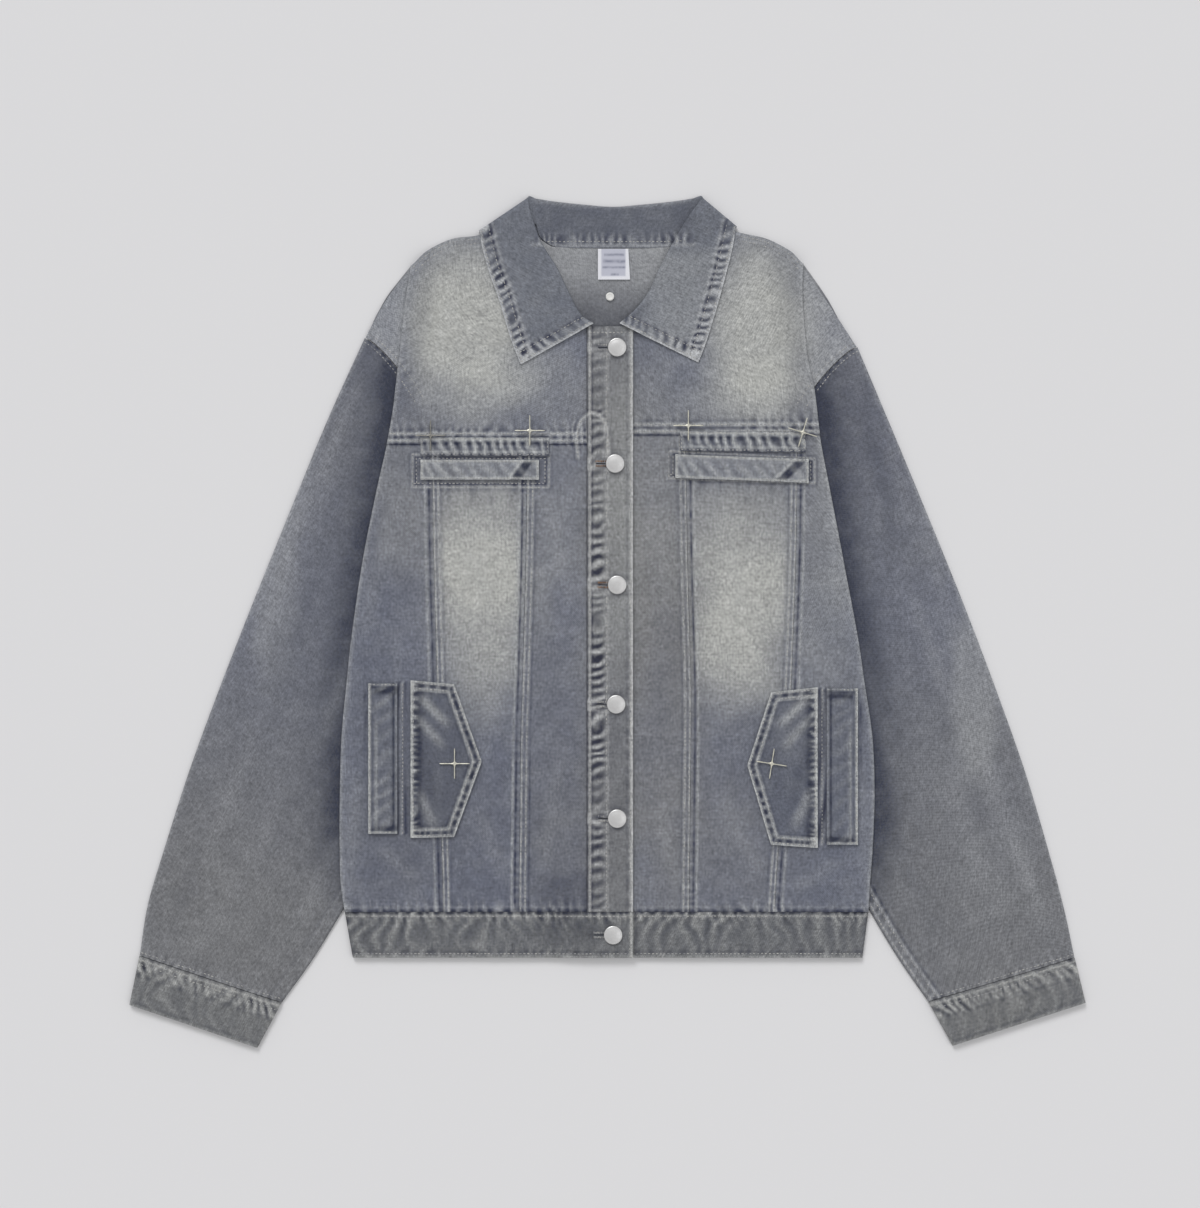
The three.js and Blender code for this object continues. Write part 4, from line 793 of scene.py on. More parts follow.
def front_marks(x, y):
    mark = marks(x, y)
    small = folded(x, y, FRONT_CREASES)
    mark["relief"] = mark["relief"] + small
    mark["worn"] = mark["worn"] + 0.3 * np.maximum(small, 0)
    mark["dark"] = mark["dark"] + 0.25 * np.maximum(-small, 0)
    outer, inner = ("outer_left", "inner_right"), ("inner_left", "outer_right")
    between = sum(smoothstep(x - at_height(a, y), -4, 12) * smoothstep(at_height(b, y) - x, -4, 12)
                  for a, b in zip(outer, inner))
    for middle, size, strength, passing in BLEACHED:
        held = lerp(between, 1, passing)
        mark["fade"] = mark["fade"] + strength * held * patch_of(x, y, middle, size, 0.62)
    for middle, size, strength in DUSTY:
        mark["dusty"] = mark["dusty"] + strength * patch_of(x, y, middle, size, 0.6)
    for middle, size, strength in DARKER:
        mark["dark"] = mark["dark"] + strength * patch_of(x, y, middle, size, 0.6)
    low = smoothstep(180 - y, 4, 14)
    for number, (name, tracks) in enumerate(SEAM_TRACKS.items()):
        line = SEAM_LINES[name]
        away = follow(line, x, y)[1]
        strip = smoothstep(away, -7.5, -6) * (1 - smoothstep(away, 6, 7.5)) * low
        mark["relief"] = mark["relief"] + 0.35 * strip
        mark["fade"] = np.where(strip > 0.5, np.minimum(mark["fade"], 0.5), mark["fade"])
        uneven = 0.75 + 0.35 * noise(x * 0, y, 7, 50 + number)
        for offset, strength in tracks:
            share = np.exp(-(((away - offset) / 1.0) ** 2)) * low * uneven
            mark["worn" if strength > 0 else "dark"] += abs(strength) * share
            mark["relief"] = mark["relief"] + 0.16 * math.copysign(1, strength) * share
        pucker(mark, line, x, y, 8.5, 5, 0.12, seed=60 + number, tint=0.22)
    for label, line in CHEST_LINES.items():
        seed = 70 if label == "left" else 74
        pucker(mark, line, x, y, 7.0, 11, 0.35, middle=9, seed=seed, slant=0.15, tint=0.6)
        ridge(mark, line, x, y, 13.0, 1.3, -0.1, dark=0.35)
        ridge(mark, line, x, y, 9.6, 1.2, 0.1, worn=0.6)
        ridge(mark, line, x, y, 6.4, 1.2, -0.1, dark=0.65)
        ridge(mark, line, x, y, 3.4, 1.2, 0.1, worn=0.6)
        ridge(mark, line, x, y, 0.0, 1.3, -0.1, dark=1.0)
    hem = [(-240, HEM_Y), (240, HEM_Y)]
    pucker(mark, hem, x, y, 9, 9, 0.25, seed=80, slant=0.2, tint=0.45)
    ridge(mark, hem, x, y, 0, 2.2, -0.1, dark=0.85)
    ridge(mark, hem, x, y, 4.4, 1.3, 0.1, worn=0.12)
    mark["dark"] = mark["dark"] + 0.35 * patch_of(x, y, (-32, -244), (30, 18))
    for corners in WELT_FRAMES.values():
        ridge(mark, corners, x, y, 0, 1.2, 0.12, worn=0.35)
        # These dark lines are partly stitch grooves and partly painted shade in the gaps round the welt,
        # under the strip and below it.
        for offset, dark in ((-2.2, 0.35), (2.6, 0.85), (6.0, 0.4)):
            ridge(mark, corners, x, y, offset, 1.2, -0.1, dark=dark)
        (x0, y0), (x1, y1) = corners[0], corners[1]
        share = smoothstep(x, x0 + 14, x0 + 34) * smoothstep(x1 - x, 14, 34)
        below = y0 + 5 - y + (y1 - y0) * (x - x0) / (x1 - x0)
        streaks = np.maximum(noise(x, y * 0.16, 4.2, 76), 0) * smoothstep(below, 0, 3) * np.exp(-below / 9)
        mark["dark"] = mark["dark"] + 1.5 * streaks * share * (below > 0)
        mark["relief"] = mark["relief"] - 0.5 * streaks * share * (below > 0)
    for (x0, x1), (y0, y1) in POCKET_STRIPS:
        length = smoothstep(y, y0 - 2, y0) * smoothstep(y1 + 2 - y, 0, 2)
        for line_x in (x0, x1):
            mark["dark"] = mark["dark"] + 0.95 * length * np.exp(-(((x - line_x) / 1.3) ** 2))
        mark["worn"] = mark["worn"] + 0.4 * length * np.exp(-(((x - (x0 + x1) / 2) / 1.2) ** 2))
    ridge(mark, ARCH, x, y, 0, 1.6, 0.2, worn=0.6)
    ridge(mark, ARCH, x, y, 3.0, 1.4, -0.1, dark=0.35)
    # Painted shade: a dark line down each hand pocket's mouth, beside its welt.
    for slit_x, y0, y1 in SHADED_POCKET_MOUTHS:
        length = smoothstep(y, y0 - 4, y0 + 4) * smoothstep(y1 + 4 - y, 0, 8)
        length = length * (0.6 + 0.4 * noise(x * 0, y, 6, 77))
        mark["dark"] = mark["dark"] + 0.8 * length * np.exp(-(((x - slit_x) / 1.3) ** 2))
    for side in SIDES.values():
        edge = (fold_x(side, np.clip(y, HEM_Y, 320)) - x) * side["sign"]
        near = np.exp(-((np.maximum(edge, 0) / 3.0) ** 2))
        mark["worn"] = mark["worn"] + 0.35 * near
        lowest = smoothstep(-y, 60, 200)
        mark["dark"] = mark["dark"] + 0.12 * np.exp(-(((edge - 16) / 12) ** 2)) * (1 - lowest)
    flat = covered(x, y)
    mark["relief"] = lerp(mark["relief"], np.minimum(mark["relief"], 0.05), flat)
    return mark


front_denim = denim("denim_fronts", (107, 111, 124), (117, 118, 121), (173, 174, 171), (172, 174, 176),
                    (52, 56, 74), contrast=0.55)


def eased(count, ease=EASE):
    t = np.linspace(0, 1, count + 1)
    return t - ease * np.sin(2 * np.pi * t)


def near_fold(x, y, z):
    """Brings a front up to its full height at the side fold, over the layers turned under."""
    for side in SIDES.values():
        away = np.abs(x - fold_x(side, y))
        z = np.where(x * side["sign"] > 0, lerp(z, FRONT_OVER_SLEEVE_Z, 1 - smoothstep(away, 6, 26)), z)
    return z


def make_panel(name, node, slot, columns, seam_y, left_at, right_at, cut):
    y = lerp(HEM_Y, seam_y - SEAM / 2, eased(PANEL_ROWS))[None, :]
    x = lerp(left_at(y), right_at(y), eased(columns, 0.125)[:, None])
    y = np.broadcast_to(y, x.shape)
    panel = cloth(name, np.stack([x, y, front_z(x, y)], -1), CLOTH, front_marks)
    panel.data.materials.append(front_denim)
    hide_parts(node)


def make_side_front(label, side):
    column = "outer_" + label
    sign = side["sign"]
    depth = abs(FRONT_OVER_SLEEVE_Z - RETURN_Z) / 2 + CLOTH / 2
    y = lerp(side["chest_seam"] - SEAM / 2, HEM_Y, eased(PANEL_ROWS))
    fold = fold_x(side, y)
    start = at_height(column, y) + sign * SEAM / 2
    above = x_at(side["armhole_line"], y)
    end = np.where(y > side["underarm"][1], above, x_at(side["side_seam_line"], y))
    columns = []
    for share in eased(48, 0.12):
        x = lerp(start, fold - sign * depth, share)
        columns.append(np.column_stack([x, y, near_fold(x, y, front_z(x, y))]))
    place = np.column_stack([fold, y])
    columns += turn(place, np.broadcast_to((sign, 0), place.shape), FRONT_OVER_SLEEVE_Z, RETURN_Z)
    for share in np.linspace(0, 1, 13):
        x = lerp(fold - sign * depth, end, share)
        z = BACK_Z + (RETURN_Z - BACK_Z) * over_sleeve(x, y)
        columns.append(np.column_stack([x, y, z if share else np.full_like(z, RETURN_Z)]))
    grid = np.array(columns)
    if sign > 0:
        grid = grid[::-1]
    panel = cloth("side_front_" + label, grid, CLOTH, front_marks)
    panel.data.materials.append(front_denim)
    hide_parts("front_side_" + label)


for label, side in SIDES.items():
    half = side["sign"] * SEAM / 2
    inner, outer = "inner_" + label, "outer_" + label
    centre_to_inner = [lambda y, s=side: np.full_like(y, s["centre"]),
                       lambda y, c=inner, h=half: at_height(c, y) - h]
    inner_to_outer = [lambda y, c=inner, h=half: at_height(c, y) + h,
                      lambda y, c=outer, h=half: at_height(c, y) - h]
    if side["sign"] < 0:
        centre_to_inner.reverse()
        inner_to_outer.reverse()
    centre_cut = (0.061, 0.42) if label == "left" else (0.084, 0.43)
    make_panel("centre_front_" + label, "front_centre_" + label, "denim", 38, side["chest_seam"],
               *centre_to_inner, centre_cut)
    middle_cut = (0.086, 0.42) if label == "left" else (0.1, 0.43)
    make_panel("middle_front_" + label, "front_middle_" + label, "denim_faded", 54, side["chest_seam"],
               *inner_to_outer, middle_cut)
    make_side_front(label, side)


# The yokes: the upper fronts, faded over the chest. Along the armhole each turns under and out again to
# the armhole seam, so that the body folds over the sleeve's top.

TUCK_Z = 2.3
TUCK = 4.0  # depth of the fold along the armhole at the shoulder


def yoke_marks(x, y):
    mark = front_marks(x, y)
    for label, side in SIDES.items():
        shoulder = side["shoulder_line"]
        on_side = x * side["sign"] > 0
        share = np.exp(-((follow(shoulder, x, y)[1] / 5.0) ** 2)) * on_side
        mark["worn"] = mark["worn"] + 0.25 * share
        seam = side["armhole_line"][:14]
        pucker(mark, seam, x, y, 8, 5, 0.2, middle=side["sign"] * -4, seed=90, tint=0.35)
    return mark


def edge_patch(top, low, first, last, u, v):
    """Points between four edges: top and low are rows of points over u, first and last over v."""
    u, v = u[:, None, None], v[None, :, None]
    top, low, first, last = top[:, None], low[:, None], first[None], last[None]
    corners = ((1 - u) * (1 - v) * top[:1] + u * (1 - v) * top[-1:] + (1 - u) * v * low[:1]
               + u * v * low[-1:])
    return (1 - v) * top + v * low + (1 - u) * first + u * last - corners


def make_yoke(label, side):
    sign, seam_y = side["sign"], side["chest_seam"]
    rows, columns = 96, 78
    v, u = np.linspace(0, 1, rows + 1), eased(columns)
    v = 1.5 * v - 0.5 * v**2
    seam = [(side["fold"][-1][0], seam_y), (side["centre"], seam_y)]
    fold = along(side["fold_line"], v)
    shape = edge_patch(along(side["shoulder_line"], 1 - u), along(seam, u), fold,
                       along(list(side["neck"]) + [(side["centre"], seam_y)], v), u, v)
    armhole_end = np.argmax(side["armhole_line"][:, 1] < seam_y) / 40
    fold_depth = abs(FRONT_OVER_SLEEVE_Z - RETURN_Z) / 2 + CLOTH / 2
    tuck_depth = abs(RETURN_Z - TUCK_Z) / 2 + CLOTH / 2
    end = armhole(side, armhole_end * v)
    inward = np.maximum(-sign * fold[:, 0] + TUCK, -sign * end[:, 0] + 2 * tuck_depth + 1)
    tuck = np.column_stack([-sign * inward, fold[:, 1]])
    grid = []
    for k in range(columns, -1, -1):
        x, y = shape[k, :, 0], shape[k, :, 1]
        sewn = lerp(back_z(x, y) + CLOTH + LIFT, front_z(x, y), smoothstep(v, 0, 0.1))
        x_in = x - sign * fold_depth * max(0, 1 - 8 * u[k])
        grid.append(np.column_stack([x_in, y, near_fold(x, y, sewn)]))
    outward = np.broadcast_to((float(sign), 0.0), fold.shape)
    grid += turn(fold, outward, FRONT_OVER_SLEEVE_Z, RETURN_Z)
    for share in np.linspace(0, 1, 7):
        x = lerp(fold[:, 0] - sign * fold_depth, tuck[:, 0] + sign * tuck_depth, share)
        grid.append(np.column_stack([x, fold[:, 1], np.full_like(x, RETURN_Z)]))
    grid += turn(tuck, -outward, RETURN_Z, TUCK_Z)
    bulge = np.array([-0.85, 0.53]) * side["top_bulge"]
    for share in np.linspace(0, 1, 22):
        rise = (1 - v) ** 3 * math.sin(math.pi * share)
        x = lerp(tuck[:, 0] + sign * tuck_depth, end[:, 0], share) - sign * bulge[0] * rise
        y = lerp(tuck[:, 1], end[:, 1], share) + bulge[1] * rise
        grid.append(np.column_stack([x, y, np.full_like(x, TUCK_Z)]))
    grid = np.array(grid)
    grid[:, -1, 1] += SEAM / 2
    if sign > 0:
        grid = grid[::-1]
    yoke = cloth("yoke_" + label, grid, CLOTH, yoke_marks)
    yoke.data.materials.append(front_denim)
    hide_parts("front_yoke_" + label)


for label, side in SIDES.items():
    make_yoke(label, side)


# The placket: a doubled strip of denim down the edge of the left front, which laps over the right one.
# Its left seam has puckered like the rungs of a ladder, and its right edge is rubbed pale.

BUTTON_SPOTS = [(8.6, 247.1), (6.8, 142.7), (8.6, 33.8), (7.7, -73.4), (8.6, -176), (5, -280.4)]
BUTTONHOLE = {"eye": 3.6, "slit": 1.6, "length": 17.0}


def placket_marks(x, y):
    mark = marks(x, y)
    lower = smoothstep(-y, -60, 110)
    pale = 0.2 + 0.15 * noise(x * 0, y, 60, 110) + 0.1 * smoothstep(x, 4, 20)
    mark["fade"] = mark["fade"] + pale * (1 - 0.9 * lower)
    mark["dusty"] = mark["dusty"] + 0.6
    mark["dark"] = mark["dark"] + 0.12 * lower
    line = [(-8.5, 266), (-8.5, HEM_Y)]
    pucker(mark, line, x, y, 9.6, 6.5, 0.45, seed=112, slant=0.25, tint=1.15)
    rungs = np.exp(-(((x + 8.5) / 6.5) ** 2))
    mark["dark"] = mark["dark"] + 0.22 * rungs
    ridge(mark, [(-14.0, 266), (-14.0, HEM_Y)], x, y, 0, 1.2, -0.15, dark=0.75)
    ridge(mark, [(-15.8, 266), (-15.8, HEM_Y)], x, y, 0, 1.3, 0.15, worn=0.55)
    ridge(mark, [(-18.2, 266), (-18.2, HEM_Y)], x, y, 0, 1.1, -0.15, dark=0.7)
    ridge(mark, [(-0.5, 266), (-0.5, HEM_Y)], x, y, 0, 1.4, 0.1, worn=0.3)
    ridge(mark, [(21.8, 266), (21.8, HEM_Y)], x, y, 0, 1.5, 0.1, worn=0.95)
    ridge(mark, [(17.6, 266), (17.6, HEM_Y)], x, y, 0, 1.0, -0.1, dark=0.3)
    pucker(mark, [(20, 266), (20, HEM_Y)], x, y, 12, 4, 0.12, seed=114, tint=0.2)
    ridge(mark, ARCH, x, y, 0, 1.6, 0.25, worn=0.6)
    ridge(mark, ARCH, x, y, 3.2, 1.4, -0.1, dark=0.3)
    for hole_x, hole_y in BUTTON_SPOTS:
        away = np.hypot((x - hole_x + 9) / 9, (y - hole_y) / 3.2)
        mark["dark"] = mark["dark"] + 0.45 * np.exp(-(away**4))
        mark["worn"] = mark["worn"] + 0.35 * np.exp(-(((away - 1.9) / 0.6) ** 2))
        # Painted shadow: a dark ring on the placket round each button's cap.
        rim = np.hypot(x - hole_x, y - hole_y)
        mark["dark"] = mark["dark"] + 0.35 * np.exp(-(((rim - 9) / 3) ** 2))
        mark["relief"] = np.where(rim < 11, np.minimum(mark["relief"], 0.15), mark["relief"])
    return mark


def cut_buttonhole(piece, spot, floor):
    """Cuts a keyhole down to a height: a round eye for the button's shank and a slit to the left of it."""
    middle = (np.array((*spot, floor + 10)) + FRAME_SHIFT) * MM
    eye_radius, slit, length = (BUTTONHOLE[k] * MM for k in ("eye", "slit", "length"))
    for shape in ("eye", "slit"):
        if shape == "eye":
            bpy.ops.mesh.primitive_cylinder_add(vertices=24, radius=eye_radius, depth=20 * MM,
                                                location=middle)
        else:
            bpy.ops.mesh.primitive_cube_add(size=1, location=middle - (length / 2, 0, 0))
            bpy.context.object.scale = (length, slit * 0.55, 20 * MM)
        cutter = bpy.context.object
        cut = piece.modifiers.new("buttonhole", "BOOLEAN")
        cut.operation, cut.solver, cut.object = "DIFFERENCE", "MANIFOLD", cutter
        bpy.ops.object.select_all(action="DESELECT")
        bpy.context.view_layer.objects.active = piece
        piece.select_set(True)
        bpy.ops.object.modifier_apply(modifier=cut.name)
        bpy.data.objects.remove(cutter)


placket_denim = denim("denim_placket", (109, 112, 121), (118, 119, 121), (166, 168, 167), (174, 175, 176),
                      (48, 50, 64), contrast=0.55)
x = lerp(PLACKET["left"], PLACKET["right"], eased(30))[:, None]
y = lerp(HEM_Y + SEAM / 2, PLACKET["top"], np.linspace(0, 1, 330))[None, :]
x, y = np.broadcast_arrays(x, y)
placket = cloth("placket_strip", np.stack([x, y, np.full_like(x, PLACKET["z"])], -1), DOUBLED, placket_marks)
placket.data.materials.append(placket_denim)
for spot in BUTTON_SPOTS[:-1]:
    cut_buttonhole(placket, spot, 0)
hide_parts("placket")


# The waistband: one doubled strip round the hem, from its buttonhole end on top to the other end under
# it. The cuffs are like strips closed to a flat tube. Washing has roped them into slanted ridges.

BAND_Z = 1.1
BAND_FRONT_Z = 4.2
BAND_DEPTH = 41.0
CUFF_DEPTH = 45.0
ROPING = 15.0
CUFF_ENDS = {"left": [(-429.8, -343.4), (-314.6, -382.1)], "right": [(429.8, -341.6), (310.1, -380.2)]}


def roped(mark, run, down, pitch, slant, seed, strength=1.0):
    """Slanted ridges of a band that shrank less than its lining: rubbed on top, dark between."""
    bend = 0.7 * noise(run, down, 26, seed) + 0.25 * noise(run, down, 11, seed + 1)
    curl = slant * down * (1 - 0.022 * down)
    wave = np.cos(2 * np.pi * ((run + curl) / pitch + bend))
    uneven = 0.55 + 0.45 * noise(run, down, 30, seed + 2)
    fine = np.cos(2 * np.pi * ((run - 0.6 * slant * down) / (0.43 * pitch) + bend))
    ripple = wave * uneven + 0.35 * fine * (1 - uneven)
    mark["relief"] = mark["relief"] + 0.34 * strength * ripple
    sharp = np.clip(ripple, 0, 1) ** 1.6
    mark["worn"] = mark["worn"] + 0.55 * strength * sharp
    mark["dark"] = mark["dark"] + 0.42 * strength * np.clip(-ripple, 0, 1)


def waistband_marks(x, y):
    mark = marks(x, y)
    mark["dusty"] = mark["dusty"] + 0.5
    calm = smoothstep(np.abs(x - 5), 18, 40)
    down = HEM_Y - y
    roped(mark, x, down, ROPING, 0.9, 120, (0.35 + 0.65 * calm) * (1.25 - 0.75 * smoothstep(down, 12, 30)))
    top, low = [(-236, HEM_Y), (236, HEM_Y)], [(-229, HEM_Y - BAND_DEPTH), (229, HEM_Y - BAND_DEPTH)]
    pucker(mark, top, x, y, 8.4, 5.5, 0.25, middle=-4, seed=123, slant=0.4, tint=0.5)
    ridge(mark, top, x, y, -0.4, 1.4, -0.1, dark=0.85)
    ridge(mark, top, x, y, -3.6, 1.1, 0.1, worn=0.3)
    ridge(mark, low, x, y, 0.8, 1.5, 0.1, worn=0.35)
    ridge(mark, low, x, y, 5.2, 1.1, -0.1, dark=0.3)
    pucker(mark, low, x, y, 11, 6, 0.2, middle=5, seed=125, slant=-0.4, tint=0.22)
    mark["dark"] = mark["dark"] + 0.1 + 0.3 * patch_of(x, y, (-30, -270), (34, 16))
    ridge(mark, [(21.6, -255), (21.6, -305)], x, y, 0, 1.4, 0.1, worn=0.8)
    # Painted shadow: a dark line on the band's under end, beside the edge of the end lapped over it.
    mark["dark"] = mark["dark"] + 0.5 * np.exp(-(((x - 25) / 1.8) ** 2)) * (x > 23)
    rim = np.hypot(x - BUTTON_SPOTS[-1][0], y - BUTTON_SPOTS[-1][1])
    mark["relief"] = np.where(rim < 11, np.minimum(mark["relief"], 0.15), mark["relief"])
    hole = np.hypot((x - BUTTON_SPOTS[-1][0] + 9) / 9, (y - BUTTON_SPOTS[-1][1]) / 3)
    mark["dark"] = mark["dark"] + 0.5 * np.exp(-(hole**4))
    mark["relief"] = np.clip(mark["relief"], -0.6, 1.3)
    return mark


band_denim = denim("denim_bands", (102, 105, 112), (111, 112, 113), (150, 151, 151), (166, 167, 166),
                   (48, 51, 63), contrast=0.58)


def make_waistband():
    v = eased(26)
    y = lerp(HEM_Y - SEAM / 2, HEM_Y - BAND_DEPTH, v)
    left_x, right_x = lerp(-236.2, -229.1, v), lerp(234.5, 229.1, v)
    depth = abs(BAND_FRONT_Z - BAND_Z) / 2 + DOUBLED / 2

    def run(count, start, end, height):
        shares = np.linspace(0, 1, count + 1)
        return [np.column_stack([lerp(start, end, s), y, height(lerp(start, end, s))]) for s in shares]

    def on_top(x):
        return BAND_FRONT_Z + 2 * smoothstep(x, -60, -14)

    def underneath(x):
        return BAND_FRONT_Z - 0.5 * (1 - smoothstep(x, 28, 60))

    grid = run(155, np.full_like(y, PLACKET["right"]), left_x + depth, on_top)
    grid += turn(np.column_stack([left_x, y]), np.broadcast_to((-1.0, 0.0), (len(y), 2)), BAND_FRONT_Z,
                 BAND_Z, DOUBLED)
    grid += run(60, left_x + depth, right_x - depth, lambda x: np.full_like(x, BAND_Z))
    grid += turn(np.column_stack([right_x, y]), np.broadcast_to((1.0, 0.0), (len(y), 2)), BAND_Z,
                 BAND_FRONT_Z, DOUBLED)
    grid += run(145, right_x - depth, np.full_like(y, SIDES["right"]["centre"]), underneath)
    band = cloth("hem_band", grid, DOUBLED, waistband_marks)
    band.data.materials.append(band_denim)
    cut_buttonhole(band, BUTTON_SPOTS[-1], BAND_FRONT_Z + 0.75)
    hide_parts("waistband")


def make_cuff(label, side):
    seam = np.array([side["outer_line"][-1], side["inner_line"][-1]])
    end = np.array(CUFF_ENDS[label], float)

    def edge_at(k):
        return lambda v: lerp(seam[k], end[k], lerp(SEAM / CUFF_DEPTH, 1, v)[:, None])

    def cuff_marks(x, y):
        mark = marks(x, y)
        mark["dusty"] = mark["dusty"] + 0.6
        run, away = follow(seam, x, y)
        down = np.abs(away)
        sign = side["sign"]
        roped(mark, run, down, ROPING, 0.8, 130 + sign, 0.9 - 0.5 * smoothstep(down, 14, 22))
        pucker(mark, seam, x, y, 7.2, 8, 0.45, middle=math.copysign(9, away.mean()), seed=133, slant=0.5,
               tint=1.0)
        mark["fade"] = mark["fade"] + 0.25 * (1 - smoothstep(down, 12, 20))
        ridge(mark, seam, x, y, 0, 1.4, -0.1, dark=0.4)
        ridge(mark, seam, x, y, math.copysign(3.4, away.mean()), 1.1, 0.1, worn=0.5)
        ridge(mark, seam, x, y, math.copysign(17, away.mean()), 1.5, 0.15, dark=0.3)
        ridge(mark, end, x, y, 0, 1.6, 0.1, worn=0.3)
        ridge(mark, end, x, y, math.copysign(3.4, -away.mean()), 1.6, -0.1, dark=0.3)
        for k in (0, 1):
            ridge(mark, [seam[k], end[k]], x, y, 0, 2.0, 0, worn=0.4)
        mark["relief"] = np.clip(mark["relief"], -0.7, 1.4)
        return mark

    ring = flat_tube(edge_at(0), edge_at(1), 28, BAND_Z, BAND_FRONT_Z, BAND_FRONT_Z, DOUBLED, 84, 24)
    cuff = cloth("cuff_of_" + label, ring, DOUBLED, cuff_marks, ring=True)
    cuff.data.materials.append(band_denim)
    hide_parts("cuff_" + label)


make_waistband()
for label, side in SIDES.items():
    make_cuff(label, side)


# The collar: a shirt collar of denim with its stand. Its leaves lie on the yokes, it turns over at the
# shoulders, and behind the neck the fall lies under the back while the stand shows inside.

COLLAR_HEIGHTS = {"neck_back": 2.1, "neck_front": 4.0, "neck_tip": 5.4, "roll": 1.8, "puff": 1.8}
COLLAR = [  # neck edge, roll and outer edge, from the right point round the back; 1 the fall lies on the
    # front, 0 it passes the shoulder, -1 it lies under the back
    (14, 267.4, 10.4, 268.6, 81.5, 233.6, 1), (33.8, 272.3, 23.9, 280.4, 86.9, 247.1, 1),
    (50.9, 284.9, 36.5, 296.6, 92.3, 263.3, 1), (64.4, 304.7, 47.3, 320, 100.4, 290.3, 1),
    (74.3, 333.5, 60.8, 345.2, 107.6, 317.3, 1), (79.6, 351.5, 75.2, 368.6, 113, 339.8, 1),
    (76.9, 358.7, 85, 382.1, 116.5, 355.9, 0), (69.8, 346.1, 72.5, 380.7, 97.7, 335.3, -1),
    (56.2, 338, 56.2, 378.4, 68, 323, -1), (30, 336.9, 30.2, 375.8, 38, 319.1, -1),
    (5, 336.8, 5, 373.9, 5, 319.1, -1), (-20, 336.9, -20.2, 375.8, -29, 319.1, -1),
    (-46.4, 338, -45.5, 378.4, -60.8, 322.7, -1), (-59.9, 346.1, -60.8, 380.7, -87.8, 333.4, -1),
    (-66, 358.7, -71.5, 382.1, -115.7, 352.4, 0), (-68.9, 351.5, -68.9, 368.6, -113, 338.9, 1),
    (-65.3, 333.5, -59.9, 342.5, -106.7, 315.5, 1), (-55.4, 306.5, -45.5, 319.1, -97.7, 290.3, 1),
    (-42.8, 284.9, -34.7, 296.6, -89.6, 263.3, 1), (-27.5, 272.3, -23.9, 276.8, -84.2, 247.1, 1),
    (-16, 267.4, -12.2, 268.6, -77.9, 231.8, 1),
]
LEAF_EDGES = {
    "right": smooth_line([row[4:6] for row in COLLAR[6::-1]]),
    "left": smooth_line([row[4:6] for row in COLLAR[14:]]),
}


def leaf_z(x, y, w):
    """The middle of the collar's fall on the front, w of the way from the roll to its outer edge."""
    over = smoothstep(x, -36, -20) * (1 - smoothstep(x, 25, 40))
    cover = max(float(front_z(x, y)) + CLOTH / 2, over * (PLACKET["z"] + DOUBLED / 2))
    return cover + LIFT + CLOTH / 2 + COLLAR_HEIGHTS["puff"] * (1 - w) ** 1.5


def collar_row(row, neck, roll, neck_height, stand_height, degrees):
    roll_at, edge_at = np.array(row[2:4]), np.array(row[4:6])
    fall_width = math.hypot(*(edge_at - roll_at))
    down = (edge_at - roll_at) / fall_width
    inward = np.array([down[1], -down[0]]) * (1 if down[0] > 0 else -1)
    angle = math.radians(degrees)

    def fall(w):
        x, y = lerp(roll_at, edge_at, w)
        if row[6] == -1:
            return np.array([x, y, BACK_Z])
        high = leaf_z(x, y, w)
        if row[6] == 1:
            return np.array([x, y, high])
        radius = (high - BACK_Z) / 2
        x, y = np.array([x, y]) + inward * (CLOTH / 2 + radius * (1 - math.cos(angle)))
        return np.array([x, y, BACK_Z + radius * (1 + math.sin(angle))])

    stand_width = math.hypot(*(neck - roll))
    depth = min(COLLAR_HEIGHTS["roll"], 0.4 * stand_width)
    stand = [np.array([*lerp(neck, roll, f), lerp(neck_height, stand_height, f)])
             for f in np.linspace(0, 1 - depth / stand_width, 6)]
    start = fall(depth / fall_width)
    bend = []
    for k in range(1, 6):
        theta = math.pi * k / 6
        back = 1 - math.sin(theta) * (1 - CLOTH / 2 / depth)
        p = lerp(np.array([*roll, 0.0]), stand[-1] if k < 3 else start, back)
        p[2] = (stand[-1][2] + start[2]) / 2 + math.cos(theta) * (stand[-1][2] - start[2]) / 2
        bend.append(p)
    return stand + bend + [start] + [fall(w) for w in np.linspace(0.12, 1, 9)]


